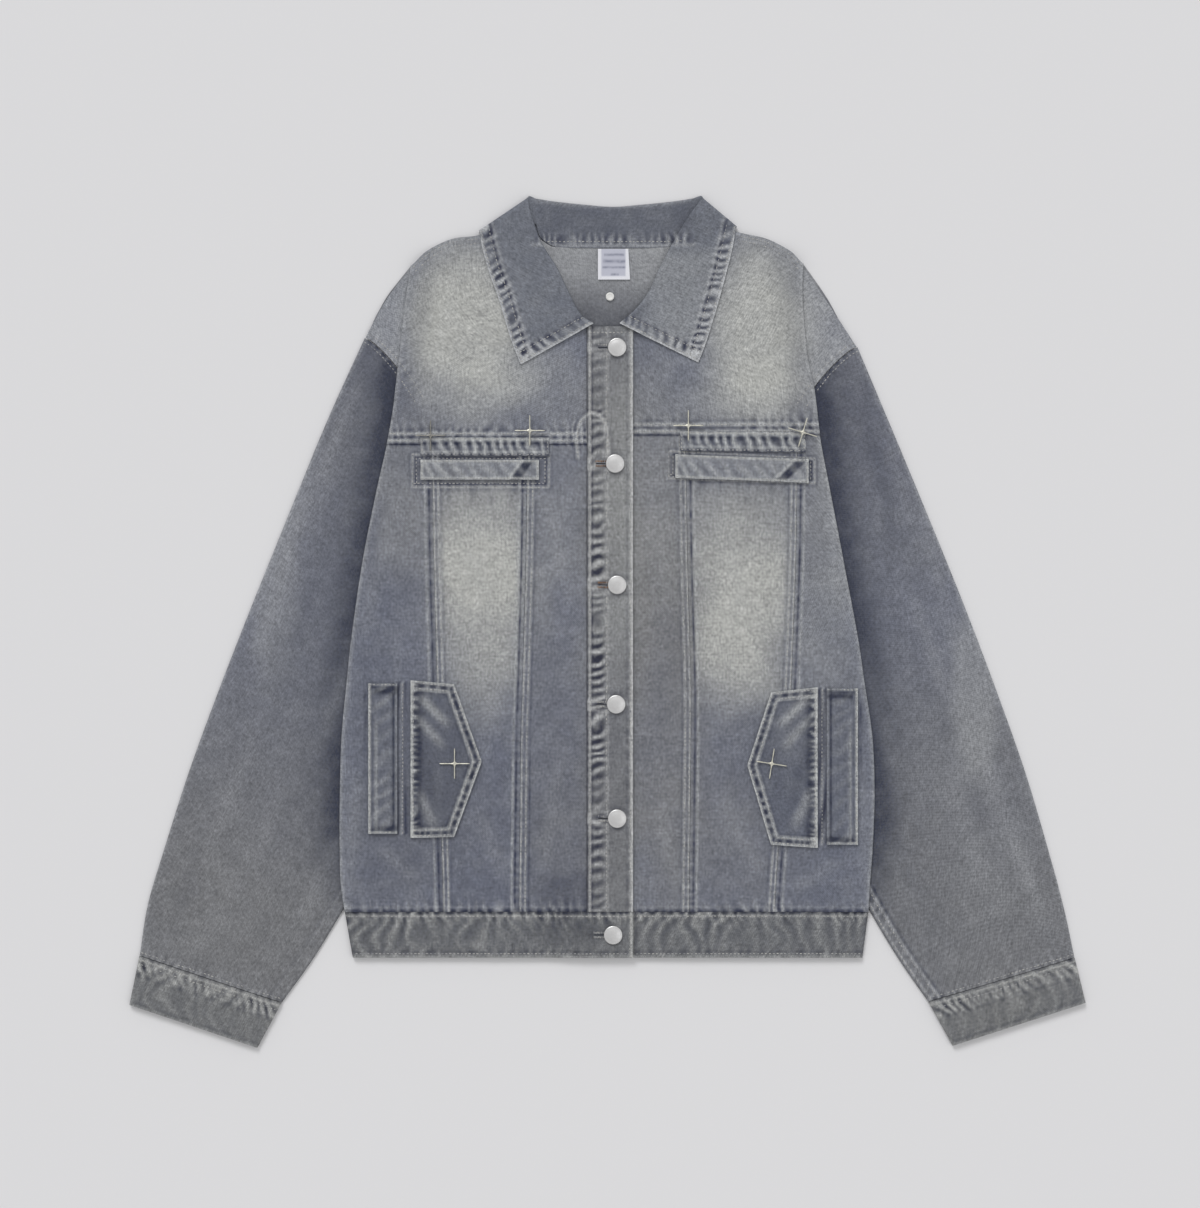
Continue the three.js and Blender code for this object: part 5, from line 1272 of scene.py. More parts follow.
def collar_marks(x, y):
    mark = marks(x, y)
    mark["fade"] = mark["fade"] + 0.06
    mark["fade"] = mark["fade"] + 0.38 * smoothstep(x, 20, 50) * smoothstep(345 - y, 0, 20)
    for label, line in LEAF_EDGES.items():
        sign = SIDES[label]["sign"]
        pucker(mark, line, x, y, 8.2, 6.5, 0.45, middle=-7 * sign, seed=140 + sign, slant=0.3, tint=1.3)
        edge = np.abs(follow(line, x, y)[1])
        mark["worn"] = mark["worn"] + 0.95 * np.exp(-((edge / 2.0) ** 2))
        mark["dark"] = mark["dark"] + 0.6 * np.exp(-(((edge - 11.0) / 1.6) ** 2))
        mark["worn"] = mark["worn"] + 0.3 * np.exp(-(((edge - 13.6) / 1.4) ** 2))
        point, neck = line[-1], COLLAR[0 if sign > 0 else -1][2:4]
        bottom = [point, neck]
        edge = np.abs(follow(bottom, x, y)[1])
        mark["worn"] = mark["worn"] + 0.95 * np.exp(-((edge / 2.0) ** 2))
        mark["dark"] = mark["dark"] + 0.6 * np.exp(-(((edge - 10.0) / 1.6) ** 2))
        pucker(mark, bottom, x, y, 8.2, 5.5, 0.4, middle=-6 * sign, seed=145 + sign, slant=0.3, tint=1.2)
    inside = smoothstep(y, 334, 342) * (1 - smoothstep(np.abs(x - 5), 62, 78))
    mark["dark"] = mark["dark"] + 0.3 * inside
    neck_seam = [(-66, 341), (76, 341)]
    pucker(mark, neck_seam, x, y, 8.0, 5, 0.35, middle=3, seed=150, tint=0.75 * inside)
    ridge(mark, neck_seam, x, y, -2, 1.3, 0.1, worn=0.4)
    mark["worn"] = mark["worn"] + 0.3 * np.exp(-(((y - 374.5 - 0.0012 * (x - 5) ** 2) / 2.2) ** 2)) * inside
    mark["dusty"] = mark["dusty"] * 0.6
    return mark


def make_collar():
    last = len(COLLAR) - 1
    coarse = []
    for k, row in enumerate(COLLAR):
        row = np.array(row, float)
        angles = [-90, -45, 0, 45, 90] if row[6] == 0 else [90 * row[6]]
        if k < last / 2:
            angles.reverse()
        before, after = np.array(COLLAR[max(k - 1, 0)], float), np.array(COLLAR[min(k + 1, last)], float)
        for n, degrees in enumerate(angles):
            spread = (n - (len(angles) - 1) / 2) * 1.1
            places = [row[i:i + 2] + (after - before)[i:i + 2] / np.hypot(*(after - before)[i:i + 2]) * spread
                      for i in (0, 2)]
            share = (degrees + 90) / 180
            near_tip = 1 - min(min(k, last - k) / 4, 1)
            side_height = lerp(COLLAR_HEIGHTS["neck_back"], COLLAR_HEIGHTS["neck_front"], share)
            height = lerp(side_height, COLLAR_HEIGHTS["neck_tip"], near_tip)
            coarse.append(collar_row(row, *places, height, height + 0.5 * share, degrees))
    grid = np.array(coarse)
    for spacing in (1.9, 1.7):
        steps = np.linalg.norm(np.diff(grid, axis=0), axis=2).max(axis=1)
        run = np.concatenate([[0], np.cumsum(np.maximum(steps, 0.3))])
        at = np.interp(np.linspace(0, run[-1], int(run[-1] / spacing)), run, np.arange(len(run)))
        k = np.clip(at.astype(int), 0, len(grid) - 2)
        t = (at - k)[:, None, None]
        p = np.concatenate([2 * grid[:1] - grid[1:2], grid, 2 * grid[-1:] - grid[-2:-1]])
        bend = 2 * p[k] - 5 * p[k + 1] + 4 * p[k + 2] - p[k + 3]
        twist = -p[k] + 3 * p[k + 1] - 3 * p[k + 2] + p[k + 3]
        grid = p[k + 1] + 0.5 * ((p[k + 2] - p[k]) * t + bend * t**2 + twist * t**3)
        grid = grid.transpose(1, 0, 2)
    collar = cloth("collar_and_stand", grid, CLOTH, collar_marks)
    collar.data.materials.append(collar_denim)
    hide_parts("collar")


collar_denim = denim("denim_collar", (106, 110, 120), (112, 114, 119), (156, 158, 160), (174, 176, 179),
                     (52, 55, 72), contrast=0.55)
make_collar()


# The chest pockets: on each side a gathered strip of denim along the yoke seam, and below it a doubled
# welt framed by two rows of stitches, with a narrow mouth between them painted dark as shade.

CHEST_TRIMS = [  # name, x from and to, y from and to, rise to the right, thickness, gathers
    ("chest_strip_left", -167.8, -52.6, 149.8, 166.2, 0, CLOTH, 12.8),
    ("chest_strip_right", 65.2, 177.8, 154.3, 172.3, -1.5, CLOTH, 12.4),
    ("chest_welt_left", -167.8, -61.6, 128.2, 146.2, 0, DOUBLED, 0),
    ("chest_welt_right", 60.8, 180.5, 129.8, 151.2, -4.5, DOUBLED, 0),
]
WELT_FOLDS = {"left": (-75, 146, -88, 128.5), "right": (170, 147, 150, 127)}
trim_denim = denim("denim_trims", (106, 110, 122), (116, 117, 120), (162, 164, 166), (176, 178, 178),
                   (46, 50, 66), contrast=0.55)


def lay_on_front(name, node, corners, thickness, surface, columns, rows):
    """A piece of cloth on the front, between the left edge and the right edge of its corners."""
    u, v = eased(columns)[:, None, None], eased(rows)[None, :, None]
    low_left, low_right, top_left, top_right = (np.array(c, float) for c in corners)
    place = lerp(lerp(low_left, low_right, u), lerp(top_left, top_right, u), v)
    x, y = place[..., 0], place[..., 1]
    z = front_z(x, y) + CLOTH / 2 + LIFT + thickness / 2
    piece = cloth(name, np.stack([x, y, z], -1), thickness, surface)
    piece.data.materials.append(trim_denim)
    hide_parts(node)
    return piece


def strip_marks_for(x0, x1, y0, y1, rise, gathers, seed):
    def strip_marks(x, y):
        mark = marks(x, y)
        middle = [(x0, (y0 + y1) / 2), (x1, (y0 + y1) / 2 + rise)]
        pitch = (x1 - x0) / gathers
        pucker(mark, middle, x, y, pitch, 9, 0.42, seed=seed, slant=0.35, tint=0.85)
        across = (y - y0 - rise * (x - x0) / (x1 - x0)) / (y1 - y0)
        for at, kind, strength in ((0.9, "worn", 0.75), (0.66, "dark", 0.7), (0.05, "dark", 0.6),
                                   (0.2, "worn", 0.35)):
            mark[kind] = mark[kind] + strength * np.exp(-(((across - at) / 0.07) ** 2))
        mark["relief"] = mark["relief"] - 0.25 * np.exp(-(((across - 0.66) / 0.06) ** 2))
        mark["fade"] = mark["fade"] + 0.18
        mark["relief"] = np.clip(mark["relief"], -0.4, 0.9)
        return mark
    return strip_marks


def welt_marks_for(x0, x1, y0, y1, rise, label):
    def welt_marks(x, y):
        mark = marks(x, y)
        across = (y - y0 - rise * (x - x0) / (x1 - x0)) / (y1 - y0)
        mark["fade"] = mark["fade"] + 0.4
        edge_x = np.minimum(x - x0, x1 - x)
        for away in ((1 - across) * (y1 - y0), across * (y1 - y0), edge_x):
            mark["worn"] = mark["worn"] + 0.7 * np.exp(-(((away - 1.2) / 1.2) ** 2))
            mark["dark"] = mark["dark"] + 0.5 * np.exp(-(((away + 0.6) / 0.9) ** 2))
        line = [(x0, y0), (x1, y0 + rise)]
        pucker(mark, line, x, y, 15, 9, 0.2, middle=8, seed=162, slant=0.9, tint=0.45)
        fx0, fy0, fx1, fy1 = WELT_FOLDS[label]
        run_x, run_y = fx1 - fx0, fy1 - fy0
        away = ((x - fx0) * run_y - (y - fy0) * run_x) / math.hypot(run_x, run_y)
        # Painted shade: a dark band behind the fold line across the welt; its folded edge is rubbed pale.
        mark["dark"] = mark["dark"] + 0.85 * smoothstep(-away, -0.5, 1.5) * (1 - smoothstep(-away, 6, 9))
        mark["worn"] = mark["worn"] + 0.55 * np.exp(-(((away - 1.2) / 1.2) ** 2))
        mark["relief"] = np.clip(mark["relief"], -0.5, 0.7)
        return mark
    return welt_marks


for number, (name, x0, x1, y0, y1, rise, thickness, gathers) in enumerate(CHEST_TRIMS):
    label = name.split("_")[-1]
    corners = [(x0, y0), (x1, y0 + rise), (x0, y1), (x1, y1 + rise)]
    surface = (strip_marks_for(x0, x1, y0, y1, rise, gathers, 154 + number) if gathers
               else welt_marks_for(x0, x1, y0, y1, rise, label))
    trim = lay_on_front(name.replace("_left", "_of_left").replace("_right", "_of_right"), name, corners,
                        thickness, surface, 100, 16)


# The hand pockets: on each side an upright doubled welt with a mouth beside it, painted dark as shade,
# and a pointed flap sewn down along its upright edge and held by a stud at its point.

HAND_WELTS = [("pocket_welt_left", -214.7, -188.6, -189.5, -54.5),
              ("pocket_welt_right", 196.7, 224.6, -199.3, -59)]
FLAPS = [  # name, seam's x, its top and foot, the shoulders' x, top and foot, and the point
    ("pocket_flap_left", -176.8, -51.8, -193.1, -137.7, -55.4, -192.4, (-113, -124.7)),
    ("pocket_flap_right", 188.6, -58.1, -202.1, 146.7, -62.6, -199.3, (125.5, -128.2)),
]


def hand_welt_marks_for(x0, x1, y0, y1, outward):
    def hand_welt_marks(x, y):
        mark = marks(x, y)
        from_left = x - x0
        inner = x1 - x if outward < 0 else from_left
        outer = from_left if outward < 0 else x1 - x
        edges = ((inner, 0.15, 0.8), (outer, 0.85, 0.3), (y - y0, 0.5, 0.5), (y1 - y, 0.2, 0.5))
        for away, worn, dark in edges:
            mark["worn"] = mark["worn"] + worn * np.exp(-(((away - 1.0) / 1.2) ** 2))
            mark["dark"] = mark["dark"] + dark * np.exp(-(((away - 3.4) / 1.2) ** 2))
        mark["worn"] = mark["worn"] + 0.4 * np.exp(-(((outer - 7.0) / 1.1) ** 2)) * smoothstep(y1 - y, 20, 50)
        ends = np.exp(-(((y1 - y - 7) / 2.6) ** 2)) + np.exp(-(((y - y0 - 5) / 2.2) ** 2))
        mark["dark"] = mark["dark"] + 0.85 * ends * (outer > 5)
        line = [((x0 + x1) / 2, y1), ((x0 + x1) / 2, y0)]
        pucker(mark, line, x, y, 17, 10, 0.2, seed=170 + outward, slant=0.8, tint=0.3)
        mark["dark"] = mark["dark"] + 0.12
        mark["relief"] = np.clip(mark["relief"] + 0.35 * np.exp(-(((inner - 5) / 5) ** 2)), -0.5, 0.8)
        return mark
    return hand_welt_marks


def flap_marks_for(seam_x, corners, outward):
    outline = [corners[0], corners[1], corners[2], corners[3], corners[4]]

    def flap_marks(x, y):
        mark = marks(x, y)
        edge = np.abs(follow(outline, x, y)[1])
        mark["worn"] = mark["worn"] + 0.9 * np.exp(-(((edge - 0.4) / 1.3) ** 2))
        mark["dark"] = mark["dark"] + 0.6 * np.exp(-(((edge - 4.0) / 1.3) ** 2))
        mark["worn"] = mark["worn"] + 0.6 * np.exp(-(((edge - 7.2) / 1.2) ** 2))
        mark["dark"] = mark["dark"] + 0.3 * np.exp(-(((edge - 9.8) / 1.4) ** 2))
        pucker(mark, outline, x, y, 8.4, 4, 0.22, middle=4.2 * outward, seed=176, tint=0.45)
        creases = [(seam_x - outward * 8, -66, seam_x - outward * 34, -92, 4, 0.5),
                   (seam_x - outward * 6, -84, seam_x - outward * 30, -112, 4, 0.4),
                   (seam_x - outward * 8, -150, seam_x - outward * 22, -186, 5, 0.3),
                   (seam_x - outward * 14, -120, seam_x - outward * 24, -170, 5, -0.3)]
        crease = folded(x, y, creases)
        mark["relief"] = np.clip(mark["relief"] + crease, -0.5, 1.0)
        mark["worn"] = mark["worn"] + 0.9 * np.maximum(crease, 0)
        mark["dark"] = mark["dark"] + 0.5 * np.maximum(-crease, 0) + 0.3 - 0.05 * outward
        beside_seam = np.abs(x - seam_x)
        mark["worn"] = mark["worn"] + 0.8 * np.exp(-(((beside_seam - 1.2) / 1.3) ** 2))
        seam_line = [(seam_x - outward * 3, corners[0][1]), (seam_x - outward * 3, corners[-1][1])]
        pucker(mark, seam_line, x, y, 6.5, 3.5, 0.25, seed=178, tint=0.8)
        mark["dark"] = mark["dark"] + 0.55 * np.exp(-(((beside_seam - 7.5) / 3.4) ** 2))
        return mark
    return flap_marks


for name, x0, x1, y0, y1 in HAND_WELTS:
    label = name.split("_")[-1]
    outward = SIDES[label]["sign"]
    corners = [(x0, y0), (x1, y0), (x0, y1), (x1, y1)]
    welt = lay_on_front("hand_welt_" + label, name, corners, DOUBLED,
                        hand_welt_marks_for(x0, x1, y0, y1, outward), 22, 84)

for name, seam_x, top, foot, shoulder_x, shoulder_top, shoulder_foot, point in FLAPS:
    label = name.split("_")[-1]
    sign = SIDES[label]["sign"]
    u, v = eased(34), np.linspace(0, 1, 85)
    seam = along([(seam_x, foot), (seam_x, top)], v)
    edge = along([(shoulder_x, shoulder_foot), point, (shoulder_x, shoulder_top)], v)
    place = lerp(seam[None], edge[None], u[:, None, None])
    grid = np.dstack([place, front_z(place[..., 0], place[..., 1]) + CLOTH / 2 + LIFT + DOUBLED / 2])
    outline = [(seam_x, top), (shoulder_x, shoulder_top), point, (shoulder_x, shoulder_foot), (seam_x, foot)]
    if sign > 0:
        grid = grid[::-1]
    flap = cloth("flap_" + label, grid, DOUBLED, flap_marks_for(seam_x, outline, sign))
    flap.data.materials.append(trim_denim)
    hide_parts(name)


# The topstitching: rows of thick cotton thread, mostly in pairs 4 mm apart, along every seam, edge and
# pocket. The thread is ecru, greyed by the wash; two buttonholes are bound in rust-brown thread.

THREAD = {"length": 2.8, "pitch": 3.5, "width": 0.8, "lift": 0.3}
FRONT_PIECES = [kind + "_front_" + label for kind in ("centre", "middle", "side") for label in SIDES]
YOKES = ["yoke_left", "yoke_right"]


def thread(name, clean, stained):
    """Twisted cotton thread, unevenly stained by the dye that washed out of the cloth."""
    material = bpy.data.materials.new(name)
    material.use_nodes = True
    tree = material.node_tree
    shader = tree.nodes["Principled BSDF"]
    place = put(tree, "TexCoord").outputs["Object"]
    stains = put(tree, "TexNoise", [("Vector", place), ("Scale", 140.0), ("Detail", 3.0), ("Roughness", 0.7)])
    spread = put(tree, "MapRange", [("Value", stains.outputs["Fac"]), ("From Min", 0.38), ("From Max", 0.66)])
    colour = mix_colour(tree, spread.outputs[0], srgb(*clean), srgb(*stained))
    tree.links.new(colour, shader.inputs["Base Color"])
    strands = put(tree, "TexNoise", [("Vector", place), ("Scale", 2200.0), ("Detail", 2.0)])
    bump = put(tree, "Bump", [("Height", strands.outputs["Fac"]), ("Strength", 0.6), ("Distance", 0.0002)])
    tree.links.new(bump.outputs["Normal"], shader.inputs["Normal"])
    shader.inputs["Roughness"].default_value = 0.8
    shader.inputs["Specular IOR Level"].default_value = 0.3
    return material


def upper_surface():
    """A tree of all the cloth's faces to find what lies on top at a place, and each face's piece."""
    points, faces, owners = [], [], []
    for piece in bpy.data.objects:
        if piece.type != "MESH" or "yarn" not in piece.data.attributes:
            continue
        mesh = piece.data
        mesh.calc_loop_triangles()
        at = np.empty(len(mesh.vertices) * 3, np.float32)
        mesh.vertices.foreach_get("co", at)
        corners = np.empty(len(mesh.loop_triangles) * 3, np.int32)
        mesh.loop_triangles.foreach_get("vertices", corners)
        faces += (corners.reshape(-1, 3) + len(points)).tolist()
        points += at.reshape(-1, 3).tolist()
        owners += [piece.name] * (len(corners) // 3)
    return BVHTree.FromPolygons(points, faces, all_triangles=True), owners


surface_tree, surface_owners = upper_surface()


def on_cloth(x, y, pieces):
    """The height of the cloth at a place, where one of the pieces lies on top there."""
    start = Vector(((x + FRAME_SHIFT[0]) * MM, (y + FRAME_SHIFT[1]) * MM, 0.1))
    spot, _, face, _ = surface_tree.ray_cast(start, Vector((0, 0, -1)))
    if spot is None or surface_owners[face] not in pieces:
        return None
    return spot.z / MM - FRAME_SHIFT[2]


def beside(line, offset):
    """A line of points moved to its left by an offset, with its corners kept sharp."""
    line = np.asarray(line, float)
    run = np.diff(line, axis=0)
    left = np.column_stack([-run[:, 1], run[:, 0]]) / np.hypot(*run.T)[:, None]
    before, after = np.vstack([left[:1], left]), np.vstack([left, left[-1:]])
    bisector = before + after
    length = np.maximum(np.sum(bisector * before, axis=1), 0.6)
    return line + bisector / length[:, None] * offset


def places_along(line, pitch):
    """Evenly spaced middles of stitches along a line, and the way each of them points."""
    line = np.asarray(line, float)
    steps = np.hypot(*np.diff(line, axis=0).T)
    run = np.concatenate([[0], np.cumsum(steps)])
    at = np.arange(pitch / 2, run[-1], pitch)
    k = np.clip(np.searchsorted(run, at) - 1, 0, len(steps) - 1)
    way = (line[k + 1] - line[k]) / steps[k][:, None]
    return line[k] + way * (at - run[k])[:, None], way


def sew(name, rows, material, seed, size=THREAD):
    """Rows of stitches as one mesh. Each row is the pieces it may lie on, its line and an offset."""
    rng = np.random.default_rng(seed)
    points, faces = [], []
    for pieces, line, offset in rows:
        for middle, way in zip(*places_along(beside(line, offset), size["pitch"])):
            tilt = rng.normal(0, 0.05)
            way = np.array([way[0] - way[1] * tilt, way[1] + way[0] * tilt])
            middle = middle + rng.normal(0, 0.12, 2)
            half = way * size["length"] / 2 * rng.uniform(0.88, 1.08)
            heights = [on_cloth(*(middle + half * share), pieces) for share in (-1, 0, 1)]
            if None in heights or max(heights) - min(heights) > 1.3:
                continue
            side = np.array([-way[1], way[0]]) * size["width"] / 2 * rng.uniform(0.9, 1.1)
            first = len(points)
            points.append((*(middle - half), heights[0] - 0.35))
            for share in (-0.55, 0.55):
                z = lerp(heights[1], heights[0 if share < 0 else 2], 0.5)
                centre = middle + half * share
                points += [(*(centre - side), z + 0.02), (*centre, z - 0.3), (*(centre + side), z + 0.02),
                           (*centre, z + size["lift"])]
            points.append((*(middle + half), heights[2] - 0.35))
            ring = [(0, 1), (1, 2), (2, 3), (3, 0)]
            faces += [(first, first + 1 + b, first + 1 + a) for a, b in ring]
            faces += [(first + 1 + a, first + 1 + b, first + 5 + b, first + 5 + a) for a, b in ring]
            faces += [(first + 9, first + 5 + a, first + 5 + b) for a, b in ring]
    mesh = bpy.data.meshes.new(name)
    mesh.from_pydata(((np.array(points) + FRAME_SHIFT) * MM).tolist(), [], faces)
    sewn = bpy.data.objects.new(name, mesh)
    bpy.context.scene.collection.objects.link(sewn)
    mesh.materials.append(material)
    mesh.shade_smooth()
    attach(sewn, "root")
    return sewn


ecru = thread("ecru_thread", (188, 187, 183), (122, 124, 132))
rust = thread("rust_thread", (150, 118, 92), (96, 72, 58))

seam_rows = []
for name, offsets in (("outer_left", (0.8, 4.9)), ("inner_left", (1.2, 5.4)), ("inner_right", (-1.0, -5.2)),
                      ("outer_right", (-0.8, -4.8))):
    seam_rows += [(FRONT_PIECES, SEAM_LINES[name], offset) for offset in offsets]
for line in CHEST_LINES.values():
    seam_rows += [(YOKES, line, offset) for offset in (3.4, 9.6)]
for corners in WELT_FRAMES.values():
    seam_rows += [(FRONT_PIECES + YOKES, corners, offset) for offset in (-0.2, 3.4)]
for (x0, x1), (y0, y1) in POCKET_STRIPS:
    seam_rows += [(FRONT_PIECES, [((x0 + x1) / 2, y1), ((x0 + x1) / 2, y0)], 0)]
for label, side in SIDES.items():
    yoke, sleeve = ["yoke_" + label], ["sleeve_of_" + label]
    seam_rows += [(yoke, side["shoulder_line"], -side["sign"] * offset) for offset in (3.0, 7.0)]
    outward = side["sign"]
    if outward > 0:
        seam_rows += [(sleeve, side["inner_line"], offset) for offset in (3.0, 8.5)]
    seam_rows += [(yoke + sleeve, side["armhole_line"][:14], outward * offset) for offset in (-4.2, 4.2)]
sew("stitches_of_seams", seam_rows, ecru, 201)

placket_rows = [(["placket_strip"], [(x, 265), (x, HEM_Y)], 0) for x in (-15.6, -1.0, 20.6)]
placket_rows += [(["placket_strip"], [(-17, 260.5), (21, 260.5)], 0), (["placket_strip"], ARCH, 0)]
placket_rows += [(FRONT_PIECES + YOKES, ARCH, 0)]
band_top, band_low = HEM_Y - 3.8, HEM_Y - BAND_DEPTH + 3.6
placket_rows += [(["hem_band"], [(-234, y), (234, y)], 0) for y in (band_top, band_low)]
placket_rows += [(["hem_band"], [(20.2, -263), (20.2, -299)], 0)]
for label, side in SIDES.items():
    cuff = ["cuff_of_" + label]
    seam, end = [side["outer_line"][-1], side["inner_line"][-1]], CUFF_ENDS[label]
    placket_rows += [(cuff, seam, way * offset) for way in (1, -1) for offset in (3.2, 7.4)]
    placket_rows += [(["sleeve_of_" + label], seam, way * 3.0) for way in (1, -1)]
sew("stitches_of_bands", placket_rows, ecru, 202)

collar_rows = []
for label, line in LEAF_EDGES.items():
    sign = SIDES[label]["sign"]
    bottom = [line[-1], COLLAR[0 if sign > 0 else -1][2:4]]
    collar_rows += [(["collar_and_stand"], edge, -sign * offset) for edge in (line, bottom)
                    for offset in (2.4, 9.6)]
collar_rows += [(["collar_and_stand"], [(-62, 342.5), (72, 342.5)], 0)]
sew("stitches_of_collar", collar_rows, ecru, 203)

pocket_rows = []
for name, x0, x1, y0, y1, rise, thickness, gathers in CHEST_TRIMS:
    trim = [name.replace("_left", "_of_left").replace("_right", "_of_right")]
    outline = [(x0, y0), (x1, y0 + rise), (x1, y1 + rise), (x0, y1), (x0, y0)]
    pocket_rows += [(trim, outline, 1.3)]
for name, x0, x1, y0, y1 in HAND_WELTS:
    label = name.split("_")[-1]
    outer_x = x0 + 1.2 if label == "left" else x1 - 1.2
    pocket_rows += [(["hand_welt_" + label], [(outer_x, y1), (outer_x, y0)], 0)]
    pocket_rows += [(["hand_welt_" + label], [(x0, at), (x1, at)], 0) for at in (y0 + 1.4, y1 - 1.4)]
for name, seam_x, top, foot, shoulder_x, shoulder_top, shoulder_foot, point in FLAPS:
    label = name.split("_")[-1]
    sign = SIDES[label]["sign"]
    outline = [(seam_x, top), (shoulder_x, shoulder_top), point, (shoulder_x, shoulder_foot), (seam_x, foot)]
    pocket_rows += [(["flap_" + label], outline, sign * offset) for offset in (1.8, 6.6)]
    pocket_rows += [(["flap_" + label], [(seam_x - sign * 2.4, top), (seam_x - sign * 2.4, foot)], 0)]
sew("stitches_of_pockets", pocket_rows, ecru, 204)

BINDING = {"length": 2.4, "pitch": 2.4, "width": 0.7, "lift": 0.35}


def binding_rows(spot, piece):
    """Stitches that stand across a buttonhole's slit, close together on both sides of it."""
    x, y = spot
    slit_end = x - BUTTONHOLE["length"]
    rows = []
    for at in np.arange(slit_end, x - BUTTONHOLE["eye"], 1.0):
        for way in (-1, 1):
            rows.append(([piece], [(at, y + way * 0.9), (at, y + way * 3.3)], 0))
    return rows


ecru_rows, rust_rows = [], []
for number, spot in enumerate(BUTTON_SPOTS):
    piece = "hem_band" if number == len(BUTTON_SPOTS) - 1 else "placket_strip"
    (rust_rows if number in (1, 2) else ecru_rows).extend(binding_rows(spot, piece))
sew("binding_of_buttonholes", ecru_rows, ecru, 205, BINDING)
sew("rust_binding_of_buttonholes", rust_rows, rust, 206, BINDING)


# The buttons: six tack buttons of satin silver metal, each a low domed cap with a rolled rim, on a shank
# riveted through the right front or the band's under end. The left front is closed over them.

BUTTON_CAP = {"radius": 8.4, "low": 0.45, "edge": 1.3}
CAP_STEPS = [(0.4, 0.42), (0.5, 0.22), (0.45, -0.05), (0.5, 0.06), (1.5, 0.28), (2.0, 0.2), (1.6, 0.05)]
BUTTON_SHANK = {"radius": 2.8, "length": 2.3}

tarnish, tarnish_in, tarnish_out = share_group("tarnish", [
    ("Clean", "INPUT", "Color"), ("Dull", "INPUT", "Color"), ("Amount", "INPUT", "Float"),
    ("Color", "OUTPUT", "Color"), ("Roughness", "OUTPUT", "Float"), ("Height", "OUTPUT", "Float")])
tree = tarnish
metal_place = put(tree, "TexCoord").outputs["Object"]
stains = put(tree, "TexNoise", [("Vector", metal_place), ("Scale", 420.0), ("Detail", 4.0),
                                ("Roughness", 0.6)])
scratches = put(tree, "TexNoise", [("Vector", metal_place), ("Scale", 2600.0), ("Detail", 2.0)])
stained = math_node(tree, "MULTIPLY", stains.outputs["Fac"], tarnish_in.outputs["Amount"])
tree.links.new(mix_colour(tree, stained, tarnish_in.outputs["Clean"], tarnish_in.outputs["Dull"]),
               tarnish_out.inputs["Color"])
dulled = math_node(tree, "MULTIPLY_ADD", stains.outputs["Fac"], 0.3, 0.24)
tree.links.new(dulled, tarnish_out.inputs["Roughness"])
tree.links.new(scratches.outputs["Fac"], tarnish_out.inputs["Height"])


def metal(name, clean, dull, amount):
    """Cast metal with a satin plating, a little stained, with fine scratches."""
    material = bpy.data.materials.new(name)
    material.use_nodes = True
    tree = material.node_tree
    shader = tree.nodes["Principled BSDF"]
    plating = put(tree, "Group", node_tree=tarnish)
    plating.inputs["Clean"].default_value = srgb(*clean)
    plating.inputs["Dull"].default_value = srgb(*dull)
    plating.inputs["Amount"].default_value = amount
    tree.links.new(plating.outputs["Color"], shader.inputs["Base Color"])
    tree.links.new(plating.outputs["Roughness"], shader.inputs["Roughness"])
    bump = put(tree, "Bump", [("Height", plating.outputs["Height"]), ("Strength", 0.25),
                              ("Distance", 0.00005)])
    tree.links.new(bump.outputs["Normal"], shader.inputs["Normal"])
    shader.inputs["Metallic"].default_value = 1.0
    return material


def pick_faces(piece, wanted):
    """Selects the faces whose middle and normal are wanted, and no others."""
    bpy.ops.mesh.select_mode(type="FACE")
    bpy.ops.mesh.select_all(action="DESELECT")
    bpy.ops.object.mode_set(mode="OBJECT")
    for face in piece.data.polygons:
        face.select = bool(wanted(face.center / MM, face.normal))
    bpy.ops.object.mode_set(mode="EDIT")


def start_primitive(add, **settings):
    """Adds a primitive on its own in edit mode, with its place in its mesh."""
    bpy.ops.object.select_all(action="DESELECT")
    add(**settings)
    piece = bpy.context.object
    bpy.ops.object.transform_apply(location=True, rotation=True, scale=True)
    bpy.ops.object.mode_set(mode="EDIT")
    return piece


def finish_primitive(piece, bevel=0.0, levels=0, angle=35):
    """Rounds its edges and its form with modifiers, and shades it smooth."""
    bpy.ops.object.mode_set(mode="OBJECT")
    if bevel:
        rounded = piece.modifiers.new("rounded", "BEVEL")
        rounded.width, rounded.segments, rounded.angle_limit = bevel * MM, 2, math.radians(30)
        bpy.ops.object.modifier_apply(modifier="rounded")
    if levels:
        smooth = piece.modifiers.new("smooth", "SUBSURF")
        smooth.levels = smooth.render_levels = levels
        bpy.ops.object.modifier_apply(modifier="smooth")
    bpy.ops.object.shade_smooth_by_angle(angle=math.radians(angle))


def copy_to(master, name, node, place, turn_by):
    """A copy of a piece with its own mesh, turned and set at a place in the jacket's millimetres."""
    piece = bpy.data.objects.new(name, master.data.copy())
    bpy.context.scene.collection.objects.link(piece)
    spot = Vector((np.array(place) + FRAME_SHIFT) * MM)
    piece.data.transform(Matrix.Translation(spot) @ Matrix.Rotation(math.radians(turn_by), 4, "Z"))
    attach(piece, "root")
    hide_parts(node)
    return piece


